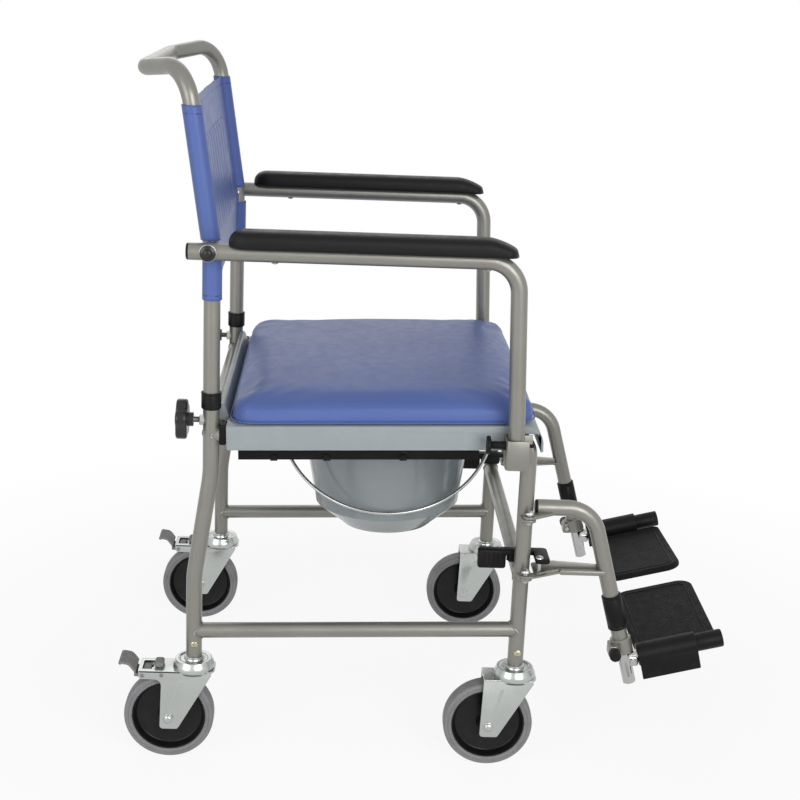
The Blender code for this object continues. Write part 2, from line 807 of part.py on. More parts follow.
# Cross tubes, coped onto the side frames
front_cross = carved(
    tube([(-FRAME_X, FRONT_LEG_Y, CROSS_Z), (FRAME_X, FRONT_LEG_Y, CROSS_Z)], TUBE_R),
    rod(
        (FRAME_X, FRONT_LEG_Y, CROSS_Z - 3 * TUBE_R),
        (FRAME_X, FRONT_LEG_Y, CROSS_Z + 3 * TUBE_R),
        BORE_R,
        BORE_SIDES,
    ),
    rod(
        (-FRAME_X, FRONT_LEG_Y, CROSS_Z - 3 * TUBE_R),
        (-FRAME_X, FRONT_LEG_Y, CROSS_Z + 3 * TUBE_R),
        BORE_R,
        BORE_SIDES,
    ),
)
place(front_cross, "cross_tube_front", TUBE_PAINT, datum, (0, FRONT_LEG_Y, CROSS_Z))
rear_cross_z = rail_z(POST_Y)
copes = []
for x in (FRAME_X, -FRAME_X):
    copes.append(
        rod(
            (x, POST_Y, rear_cross_z - 3 * TUBE_R),
            (x, POST_Y, rear_cross_z + 3 * TUBE_R),
            BORE_R,
            BORE_SIDES,
        )
    )
    reach_y = POST_Y - 3 * TUBE_R
    copes.append(rod((x, POST_Y + BITE, rear_cross_z), (x, reach_y, rail_z(reach_y)), BORE_R, BORE_SIDES))
rear_cross = carved(
    tube([(-FRAME_X, POST_Y, rear_cross_z), (FRAME_X, POST_Y, rear_cross_z)], TUBE_R),
    *copes,
)
place(rear_cross, "cross_tube_rear", TUBE_PAINT, datum, (0, POST_Y, rear_cross_z))

# Collars round the joint between rear leg and back post
collar = carved(
    rod(
        (FRAME_X, POST_Y, COLLAR_LOW_Z),
        (FRAME_X, POST_Y, COLLAR_LOW_Z + COLLAR_LENGTH),
        COLLAR_R,
        BORE_SIDES,
    ),
    rod(
        (FRAME_X, POST_Y, COLLAR_LOW_Z - BITE),
        (FRAME_X, POST_Y, COLLAR_LOW_Z + COLLAR_LENGTH + BITE),
        BORE_R,
        BORE_SIDES,
    ),
)
pair(collar, "socket_collar", BLACK_PLASTIC, datum, (FRAME_X, POST_Y, COLLAR_LOW_Z))

# Star knobs that clamp the back posts
star_rear = star_face + NUT_PROUD + STAR_STAND + STAR_HUB
lobes = []
star_points = STAR_LOBES * 6
for i in range(star_points):
    angle = 2 * math.pi * i / star_points
    reach = STAR_R * (1 - STAR_DIP * (0.5 - 0.5 * math.cos(STAR_LOBES * angle)))
    lobes.append((reach * math.sin(angle) + FRAME_X, reach * math.cos(angle) + STAR_Z))
star = fused(
    slab(lobes, STAR_THICK, across_at(star_rear + STAR_THICK / 2)),
    rod((FRAME_X, star_rear - STAR_HUB, STAR_Z), (FRAME_X, star_rear + BITE, STAR_Z), STAR_HUB_R),
    rod((FRAME_X, star_rear - STAR_HUB - STAR_STEM, STAR_Z), (FRAME_X, star_rear, STAR_Z), STAR_STEM_R, 12),
)
pair(star, "star_knob", BLACK_PLASTIC, datum, (FRAME_X, star_rear, STAR_Z))

# Push bar: both back posts and the handle in one tube, with spigots and the arms' pivot bolts
spigot_low = LEG_TOP_Z - SPIGOT_LENGTH
half = [
    (FRAME_X, POST_Y, LEG_TOP_Z + GAP),
    (FRAME_X, POST_Y, LEAN_Z),
    (FRAME_X, post_y(BAR_Z), BAR_Z),
    (FRAME_X - BAR_IN, post_y(BAR_Z) + BAR_BACK, BAR_Z - BAR_FALL),
]
run = half + [(-x, y, z) for x, y, z in reversed(half)]
bends = (LEAN_R, TOP_BEND_R, BAR_BEND_R)
arm_out = ARM_X + TUBE_R + GAP
bar_parts = []
for sign in (1, -1):
    x = sign * FRAME_X
    bar_parts += [
        rod((x, POST_Y, spigot_low), (x, POST_Y, LEG_TOP_Z + TUBE_R), SPIGOT_R, 14),
        rod((x, ARM_PIVOT_Y, ARM_Z), (sign * (ARM_X - TUBE_R - GAP), ARM_PIVOT_Y, ARM_Z), ARM_SPACER_R),
        rod(
            (x, ARM_PIVOT_Y, ARM_Z),
            (sign * (arm_out + ARM_WASHER + ARM_NUT / 2), ARM_PIVOT_Y, ARM_Z),
            ARM_BOLT_R,
        ),
        rod(
            (sign * arm_out, ARM_PIVOT_Y, ARM_Z),
            (sign * (arm_out + ARM_WASHER), ARM_PIVOT_Y, ARM_Z),
            ARM_WASHER_R,
        ),
        rod(
            (sign * (arm_out + GAP), ARM_PIVOT_Y, ARM_Z),
            (sign * (arm_out + ARM_WASHER + ARM_NUT), ARM_PIVOT_Y, ARM_Z),
            ARM_NUT_R,
            10,
        ),
    ]
push_bar = fused(tube(rounded(run, bends + bends[::-1]), TUBE_R), *bar_parts)
back = place(push_bar, "push_bar", TUBE_PAINT, datum, (0, POST_Y, LEG_TOP_Z))

# Back sling: a sagging panel between sleeves that stop short of the pivot bolts
panel_half = FRAME_X - BORE_R - VINYL / 2
sheet = bmesh.new()
bmesh.ops.create_grid(sheet, x_segments=8, y_segments=6, size=0.5)
for vert in sheet.verts:
    x = 2 * vert.co.x * panel_half
    z = SLING_LOW_Z + (vert.co.y + 0.5) * (SLING_TOP_Z - SLING_LOW_Z)
    vert.co = (x, post_y(z) + SLING_SAG * (1 - (x / panel_half) ** 2), z)
panel = from_bmesh(sheet)
thick = panel.modifiers.new("thick", "SOLIDIFY")
thick.thickness = SLING_THICK
thick.offset = 0.0
panel = baked(panel)
sleeves = []
for sign in (1, -1):
    x = sign * FRAME_X
    for low, top in ((SLING_LOW_Z, SLING_BREAK_LOW_Z), (SLING_BREAK_TOP_Z, SLING_TOP_Z)):
        sleeves.append(rod((x, post_y(low), low), (x, post_y(top), top), BORE_R + VINYL, BORE_SIDES))
sling = fused(panel, *sleeves)
bores = []
for sign in (1, -1):
    x = sign * FRAME_X
    bores.append(
        rod((x, POST_Y, SLING_LOW_Z - BITE), (x, POST_Y, SLING_BREAK_LOW_Z + BITE), BORE_R, BORE_SIDES)
    )
    low, top = SLING_BREAK_TOP_Z - BITE, SLING_TOP_Z + BITE
    bores.append(rod((x, post_y(low), low), (x, post_y(top), top), BORE_R, BORE_SIDES))
sling = carved(sling, *bores)
place(sling, "backrest_sling", BLUE_VINYL, back, (0, 0, 0))
sling_at = Vector((0, POST_Y, LEG_TOP_Z))
bpy.data.objects["backrest_sling"].location = -sling_at

# Arms: a bent tube, slotted at its foot so that it lifts off the plunger's pin
arm_rear_y = ARM_PIVOT_Y + ARM_REAR
arm = tube(
    rounded(
        [(ARM_X, arm_rear_y, ARM_Z), (ARM_X, ARM_POST_Y, ARM_Z), (ARM_X, arm_post_y(ARM_FOOT_Z), ARM_FOOT_Z)],
        (ARM_BEND_R,),
        15.0,
    ),
    TUBE_R,
)
slot_y = arm_post_y(PIN_Z)
arm = carved(
    arm,
    rod(
        (ARM_X - 2 * TUBE_R, ARM_PIVOT_Y, ARM_Z),
        (ARM_X + 2 * TUBE_R, ARM_PIVOT_Y, ARM_Z),
        ARM_BOLT_R + GAP,
        BORE_SIDES,
    ),
    box(
        (ARM_X - PIN_SLOT / 2, slot_y - 2 * TUBE_R, ARM_FOOT_Z - 2 * TUBE_R),
        (ARM_X + PIN_SLOT / 2, slot_y + 2 * TUBE_R, PIN_Z + PIN_SLOT / 2),
    ),
)
arm_pivot = Vector((ARM_X, ARM_PIVOT_Y, ARM_Z))
pair(arm, "arm_tube", TUBE_PAINT, datum, arm_pivot)

# Arm pads
pad_shape = bmesh.new()
bmesh.ops.create_cube(pad_shape, size=1.0)
bmesh.ops.subdivide_edges(pad_shape, edges=pad_shape.edges, cuts=3, use_grid_fill=True)
pad_mid = (PAD_REAR_Y + PAD_FRONT_Y) / 2
for vert in pad_shape.verts:
    u, v, w = vert.co
    lift = PAD_CROWN * (1 - (2 * u) ** 2) if w > 0.49 else 0.0
    vert.co = (
        ARM_X + 2 * u * PAD_HALF,
        pad_mid + v * (PAD_REAR_Y - PAD_FRONT_Y),
        PAD_LOW_Z + (w + 0.5) * PAD_EDGE + lift,
    )
pad = bevelled(from_bmesh(pad_shape), PAD_ROUND, 2, 50.0)
pad = carved(
    pad,
    rod((ARM_X, PAD_FRONT_Y - BITE, ARM_Z), (ARM_X, PAD_REAR_Y + BITE, ARM_Z), BORE_R, BORE_SIDES),
)
pair(pad, "arm_pad", BLACK_PAD, datum, arm_pivot)
cap = rod(
    (ARM_X, arm_rear_y + GAP, ARM_Z),
    (ARM_X, arm_rear_y + GAP + ARM_CAP, ARM_Z),
    TUBE_R,
    16,
    TUBE_R - ARM_CAP,
)
pair(cap, "arm_end_cap", BLACK_PLASTIC, datum, arm_pivot)

# Plungers in the arm sockets
knob_face = SOCKET_REAR_Y + PIN_HOUSING + GAP
plunger = fused(
    rod((ARM_X, SOCKET_REAR_Y - PIN_REACH, PIN_Z), (ARM_X, knob_face + BITE, PIN_Z), PIN_R, 12),
    rod((ARM_X, knob_face, PIN_Z), (ARM_X, knob_face + PIN_KNOB, PIN_Z), PIN_KNOB_R, 20),
)
pair(plunger, "arm_plunger", BLACK_PLASTIC, datum, (ARM_X, knob_face, PIN_Z))

# Seat board: a moulded tray with side skirts, a rounded nose and a rear lip
outer = slab(
    rounded_corners(
        [
            (BOARD_REAR_Y, SKIRT_LOW),
            (BOARD_REAR_Y, DECK_TOP),
            (BOARD_FRONT_Y, DECK_TOP),
            (BOARD_FRONT_Y, SKIRT_LOW),
        ],
        [0, 0, BOARD_NOSE_R, 0],
    ),
    2 * BOARD_HALF,
    upright_at(0),
)
outer = bevelled(outer, BOARD_WALL, 2, 60.0)
inner = slab(
    rounded_corners(
        [
            (BOARD_REAR_Y + BITE, SKIRT_LOW - BITE),
            (BOARD_REAR_Y + BITE, DECK_LOW),
            (BOARD_FRONT_Y + BOARD_NOSE_WALL, DECK_LOW),
            (BOARD_FRONT_Y + BOARD_NOSE_WALL, SKIRT_LOW - BITE),
        ],
        [0, 0, BOARD_NOSE_R - BOARD_NOSE_WALL, 0],
    ),
    2 * (BOARD_HALF - BOARD_WALL),
    upright_at(0),
)
notches = []
for sign in (1, -1):
    span = sorted((sign * (BOARD_HALF - 2 * BOARD_WALL), sign * (BOARD_HALF + BITE)))
    notches.append(
        box(
            (span[0], BOARD_FRONT_Y + BOARD_NOSE_WALL + RUN, SKIRT_LOW - BITE),
            (span[1], NOTCH_REAR_Y, NOTCH_TOP),
        )
    )
board = carved(outer, inner, *notches)
board = fused(
    board,
    box(
        (-LIP_HALF, BOARD_REAR_Y - BITE, DECK_LOW),
        (LIP_HALF, BOARD_REAR_Y + LIP_DEEP, LIP_TOP),
    ),
    box(
        (BOARD_WALL - BOARD_HALF, BOARD_FRONT_Y + GAP, NOSE_LOW),
        (BOARD_HALF - BOARD_WALL, BOARD_FRONT_Y + BOARD_NOSE_WALL - GAP, SKIRT_LOW + BITE),
    ),
)
board = carved(board, rod((0, PAN_Y, DECK_LOW - BITE), (0, PAN_Y, DECK_TOP + BITE), HOLE_R, 32))
place(board, "seat_board", BOARD_GREY, seat)

# Seat cushion
cushion_shape = bmesh.new()
bmesh.ops.create_cube(cushion_shape, size=1.0)
bmesh.ops.subdivide_edges(cushion_shape, edges=cushion_shape.edges, cuts=3, use_grid_fill=True)
cushion_rear = BOARD_REAR_Y - BITE - RUN
cushion_mid = (cushion_rear + CUSHION_FRONT_Y) / 2
for vert in cushion_shape.verts:
    u, v, w = vert.co
    lift = CUSHION_CROWN * (1 - (2 * u) ** 4) * (1 - (2 * v) ** 4) if w > 0.49 else 0.0
    vert.co = (
        2 * u * CUSHION_HALF,
        cushion_mid + v * (cushion_rear - CUSHION_FRONT_Y),
        DECK_TOP + GAP + (w + 0.5) * CUSHION_EDGE + lift,
    )
cushion = bevelled(from_bmesh(cushion_shape), CUSHION_ROUND, 2, 50.0)
place(cushion, "seat_cushion", BLUE_VINYL, seat, (0, 0, DECK_TOP))

# Pan guides under the board
guide = fused(
    box(
        (GUIDE_X, GUIDE_FRONT_Y, GUIDE_LOW + BITE / 2),
        (GUIDE_X + GUIDE_WALL, GUIDE_REAR_Y, DECK_LOW - GAP),
    ),
    box(
        (GUIDE_X + GUIDE_WALL - GUIDE_FLANGE, GUIDE_FRONT_Y, GUIDE_LOW),
        (GUIDE_X + GUIDE_WALL, GUIDE_REAR_Y, GUIDE_LOW + GUIDE_WALL),
    ),
)
pair(guide, "pan_guide", BLACK_PLASTIC, seat)

# Pan with its rim on the guides, and its bail resting against its side
rim_top = RIM_LOW + PAN_RIM
pan_floor = RIM_LOW - PAN_DEPTH
pan = turned(
    [
        (0.0, pan_floor + PAN_WALL),
        (PAN_BASE_R - PAN_WALL, pan_floor + PAN_WALL),
        (PAN_WAIST_R - PAN_WALL, RIM_LOW - PAN_WAIST_DROP),
        (PAN_SHOULDER_R - PAN_WALL, RIM_LOW - PAN_SHOULDER_DROP),
        (PAN_MOUTH_R, RIM_LOW),
        (PAN_MOUTH_R, rim_top),
        (PAN_RIM_R, rim_top),
        (PAN_RIM_R, RIM_LOW),
        (PAN_MOUTH_R + PAN_WALL, RIM_LOW),
        (PAN_SHOULDER_R, RIM_LOW - PAN_SHOULDER_DROP),
        (PAN_WAIST_R, RIM_LOW - PAN_WAIST_DROP),
        (PAN_BASE_R, pan_floor),
        (0.0, pan_floor),
    ],
    (0, PAN_Y, 0),
    Matrix.Identity(4),
)
bail_points = []
bail_eyes = []
bail_bores = []
bail_count = 14
for i in range(bail_count + 1):
    angle = math.pi * i / bail_count
    fall = BAIL_R * math.sin(angle)
    bail_points.append(
        (
            -fall * math.sin(BAIL_REST),
            PAN_Y + BAIL_R * math.cos(angle),
            BAIL_PIVOT - fall * math.cos(BAIL_REST),
        )
    )
for sign in (1, -1):
    middle = PAN_Y + sign * BAIL_R
    ends = (middle - BAIL_EYE / 2, middle + BAIL_EYE / 2)
    bail_eyes.append(rod((0, ends[0], BAIL_PIVOT), (0, ends[1], BAIL_PIVOT), BAIL_EYE_R, 12))
    bail_bores.append(
        rod((0, ends[0] - BITE, BAIL_PIVOT), (0, ends[1] + BITE, BAIL_PIVOT), BAIL_PIN_R + GAP, BORE_SIDES)
    )
    pan = fused(
        pan,
        rod(
            (0, PAN_Y + sign * (PAN_MOUTH_R + BITE), BAIL_PIVOT),
            (0, middle + sign * BAIL_EYE, BAIL_PIVOT),
            BAIL_PIN_R,
            12,
        ),
    )
place(pan, "pan", PAN_GREY, seat, (0, PAN_Y, BAIL_PIVOT))
bail = carved(fused(tube(bail_points, BAIL_WIRE_R, 2), *bail_eyes), *bail_bores)
place(bail, "pan_bail", ZINC, seat, (0, PAN_Y, BAIL_PIVOT))

# Footrest hangers: a bent tube with two hinge plates, a lug for the clamp knob and a bore for the extension
hanger_rear_y = FRONT_LEG_Y - TUBE_R - CLEAR - HANGER_PLUG
hanger = tube(
    rounded([(FRAME_X, hanger_rear_y, HANGER_Z), KNEE, hanger_point(HANGER_LENGTH)], (HANGER_BEND_R,)),
    TUBE_R,
)
hanger_parts = []
lever_x = HINGE_X + (FRAME_X - HINGE_X) * LEVER_AT
lever_y = HINGE_Y + (HANGER_PLATE_Y - HINGE_Y) * LEVER_AT
for ear_z in (EAR_TOP_Z, EAR_LOW_Z):
    outline = link_outline((HINGE_X, HINGE_Y), HANGER_EYE_R, (FRAME_X, HANGER_PLATE_Y), HANGER_EYE_R - GAP)
    hanger_parts.append(slab(outline, EAR, flat_at(ear_z + GAP + EAR / 2)))
gusset_z = EAR_LOW_Z + GAP + EAR / 2
gusset_end = KNEE.y - (HANGER_Z - gusset_z) * math.tan(HANGER_SLOPE)
hanger_parts.append(
    rod((FRAME_X, HANGER_PLATE_Y, gusset_z), (FRAME_X, gusset_end, gusset_z), GUSSET_R, 10)
)
lever_base_z = EAR_LOW_Z + GAP + EAR
lever_top_z = LEVER_LOW_Z + LEVER_THICK
hanger_parts += [
    rod((lever_x, lever_y, gusset_z), (lever_x, lever_y, lever_top_z + LEVER_HEAD), LEVER_PIN_R, 12),
    rod(
        (lever_x, lever_y, lever_top_z + GAP),
        (lever_x, lever_y, lever_top_z + GAP + LEVER_HEAD),
        LEVER_HEAD_R,
        12,
    ),
    rod(hanger_point(HANGER_LENGTH - LUG_LENGTH), hanger_point(HANGER_LENGTH), LUG_R, 16),
]
lug_y = KNEE.y - (HANGER_Z - KNOB_Z) * math.tan(HANGER_SLOPE)
knob_y = lug_y + KNOB_BACK
hanger_parts.append(
    box(
        (FRAME_X - LUG_EAR_HALF, lug_y + EXTENSION_R, KNOB_Z - LUG_EAR_HIGH / 2),
        (FRAME_X + LUG_R, lug_y + LUG_EAR_BACK, KNOB_Z + LUG_EAR_HIGH / 2),
    )
)
hinge_bottom = EAR_LOW_Z - EAR
hanger = carved(
    fused(hanger, *hanger_parts),
    rod(
        hanger_point(EXTENSION_START - BITE),
        hanger_point(HANGER_LENGTH + TUBE_R),
        EXTENSION_R + GAP,
        BORE_SIDES,
    ),
    rod(
        (HINGE_X, HINGE_Y, hinge_bottom),
        (HINGE_X, HINGE_Y, HANGER_Z + TUBE_R),
        HINGE_PIN_R + GAP,
        BORE_SIDES,
    ),
    rod(
        (FRAME_X - 2 * LUG_EAR_HALF, knob_y, KNOB_Z),
        (FRAME_X + 2 * LUG_EAR_HALF, knob_y, KNOB_Z),
        KNOB_BOLT_R + GAP,
        BORE_SIDES,
    ),
)
hinge_pivot = Vector((HINGE_X, HINGE_Y, EAR_TOP_Z))
pair(hanger, "footrest_hanger", TUBE_PAINT, datum, hinge_pivot)
plug = carved(
    rod(
        (FRAME_X, hanger_rear_y + GAP, HANGER_Z),
        (FRAME_X, hanger_rear_y + HANGER_PLUG, HANGER_Z),
        TUBE_R - GAP,
    ),
    slab(
        link_outline((HINGE_X, HINGE_Y), HANGER_EYE_R + GAP, (FRAME_X, HANGER_PLATE_Y), HANGER_EYE_R),
        EAR + 2 * GAP,
        flat_at(EAR_TOP_Z + GAP + EAR / 2),
    ),
)
pair(plug, "hanger_plug", BLACK_PLASTIC, datum, hinge_pivot)
sleeve = carved(
    rod(hanger_point(SLEEVE_START), hanger_point(SLEEVE_START + SLEEVE_LENGTH), SLEEVE_R, BORE_SIDES),
    rod(
        hanger_point(SLEEVE_START - BITE),
        hanger_point(SLEEVE_START + SLEEVE_LENGTH + BITE),
        BORE_R,
        BORE_SIDES,
    ),
)
pair(sleeve, "hanger_sleeve", BLACK_PLASTIC, datum, hinge_pivot)

# Clamp knobs on the hangers' lugs
knob_in = FRAME_X + LUG_R + GAP
clamp = fused(
    rod((FRAME_X - LUG_EAR_HALF - BITE, knob_y, KNOB_Z), (knob_in + BITE, knob_y, KNOB_Z), KNOB_BOLT_R, 12),
    rod((knob_in, knob_y, KNOB_Z), (knob_in + KNOB_LONG, knob_y, KNOB_Z), KNOB_R, 14),
)
pair(clamp, "clamp_knob", BLACK_PLASTIC, datum, (FRAME_X, knob_y, KNOB_Z))

# Release levers, each on a pin that stands on the hanger's lower plate
grip_in = LEVER_GRIP_X - LEVER_GRIP_WIDE / 2
grip_out = LEVER_GRIP_X + LEVER_GRIP_WIDE / 2
lever_front = lever_y - LEVER_WIDE / 2
lever_back = lever_y + LEVER_WIDE / 2
strip = rounded_corners(
    [
        (grip_in, LEVER_GRIP_REAR_Y),
        (grip_in, lever_front),
        (lever_x, lever_front),
        (lever_x, lever_back),
        (grip_out, lever_back),
        (grip_out, LEVER_GRIP_REAR_Y),
    ],
    [BITE, LEVER_WIDE / 2, 0, 0, 0, BITE],
    30.0,
)
lever = fused(
    slab(strip, LEVER_THICK, flat_at(LEVER_LOW_Z + LEVER_THICK / 2)),
    rod((lever_x, lever_y, lever_base_z + GAP), (lever_x, lever_y, lever_top_z - RUN), LEVER_BOSS_R),
    box(
        (grip_in + RUN, lever_back + BITE, LEVER_GRIP_LOW_Z),
        (grip_out - RUN, LEVER_GRIP_REAR_Y - RUN, LEVER_LOW_Z + BITE),
    ),
)
lever = carved(
    lever,
    rod(
        (lever_x, lever_y, lever_base_z),
        (lever_x, lever_y, lever_top_z + BITE),
        LEVER_PIN_R + GAP,
        BORE_SIDES,
    ),
)
pair(lever, "release_lever", BLACK_PLASTIC, datum, (lever_x, lever_y, LEVER_LOW_Z))

# Footrest extensions: a tube that slides in the hanger, with a block and the footplate's spindle
extension = fused(
    rod(hanger_point(EXTENSION_START), hanger_point(EXTENSION_END), EXTENSION_R, BORE_SIDES),
    bevelled(
        box(
            (FRAME_X - BLOCK_HALF, SPINDLE_Y + RUN, BLOCK_LOW_Z),
            (FRAME_X + BLOCK_HALF, BLOCK_REAR_Y, BLOCK_TOP_Z),
        ),
        BITE,
        1,
    ),
    rod(spindle_point(-SPINDLE_ROOT), spindle_point(BITE), SPINDLE_ROOT_R, 14),
    rod(spindle_point(-BITE), spindle_point(SPINDLE_LENGTH), SPINDLE_R, BORE_SIDES),
)
pair(extension, "footrest_extension", CHROME, datum, hanger_point(HANGER_LENGTH))

# Footplates, built level and then tilted with their spindles
foot = empty("footrest_datum", SPINDLE * 1.0 - Vector((FRAME_X, 0, 0)), -SPINDLE_RISE, datum)
plate_out = FRAME_X - SPINDLE_R - RUN
plate_wide = plate_out - PLATE_INNER_X
plate_low = PLATE_TOP - PLATE_THICK
tread = slab(
    rounded_corners(
        [(-plate_wide, -PLATE_LONG), (0, -PLATE_LONG), (0, -CLEAR), (-plate_wide, -CLEAR)],
        [PLATE_CORNER_R, PLATE_CORNER_R / 2, 0, PLATE_CORNER_R],
    ),
    PLATE_THICK,
    Matrix.Translation((plate_out, 0, PLATE_TOP - PLATE_THICK / 2)) @ Matrix.Rotation(PLATE_CANT, 4, "Y"),
)
footplate = fused(
    rod((FRAME_X, -GAP, 0), (FRAME_X, -BARREL_LENGTH, 0), BARREL_R, BORE_SIDES),
    tread,
    box(
        (plate_out - 3 * BITE, -BARREL_LENGTH + GAP, plate_low + RUN),
        (FRAME_X, -CLEAR - GAP, PLATE_TOP - RUN),
    ),
    box(
        (FRAME_X + BARREL_R - SKIRT_WALL, -BARREL_LENGTH + GAP, -SKIRT_DROP),
        (FRAME_X + BARREL_R - GAP, -RUN, 0),
    ),
)
footplate = carved(
    footplate, rod((FRAME_X, BITE, 0), (FRAME_X, -BARREL_LENGTH - BITE, 0), SPINDLE_R + GAP, BORE_SIDES)
)
pair(footplate, "footplate", BLACK_PLASTIC, foot, (FRAME_X, 0, 0))

# Castors: a fork and dome on each leg's stem, a hub, a tyre and an axle
ALONG_X = Matrix.Rotation(math.pi / 2, 4, "Y")
dome_top = LEG_FOOT_Z - GAP
dome_high = dome_top - FORK_PLATE_Z
cheek_x = FORK_HALF - FORK_WALL / 2
hub_bore = AXLE_R + GAP
hub_well_r = HUB_R - HUB_RIM
hub_profile = [
    (HUB_R, HUB_RIM_HALF),
    (HUB_R, -HUB_RIM_HALF),
    (hub_well_r, -HUB_RIM_HALF),
    (HUB_BOSS_R, -HUB_BOSS_HALF),
    (hub_bore, -HUB_BOSS_HALF),
    (hub_bore, HUB_BOSS_HALF),
    (HUB_BOSS_R, HUB_BOSS_HALF),
    (hub_well_r, HUB_RIM_HALF),
]
tyre_mid = WHEEL_R - TYRE_ROUND
tyre_side = TYRE_HALF - TYRE_ROUND
tyre_profile = (
    arc((tyre_mid, tyre_side), TYRE_ROUND, 90, 0, 2)
    + arc((tyre_mid, -tyre_side), TYRE_ROUND, 0, -90, 2)
    + [(HUB_R + GAP, -TYRE_HALF), (HUB_R + GAP, TYRE_HALF)]
)

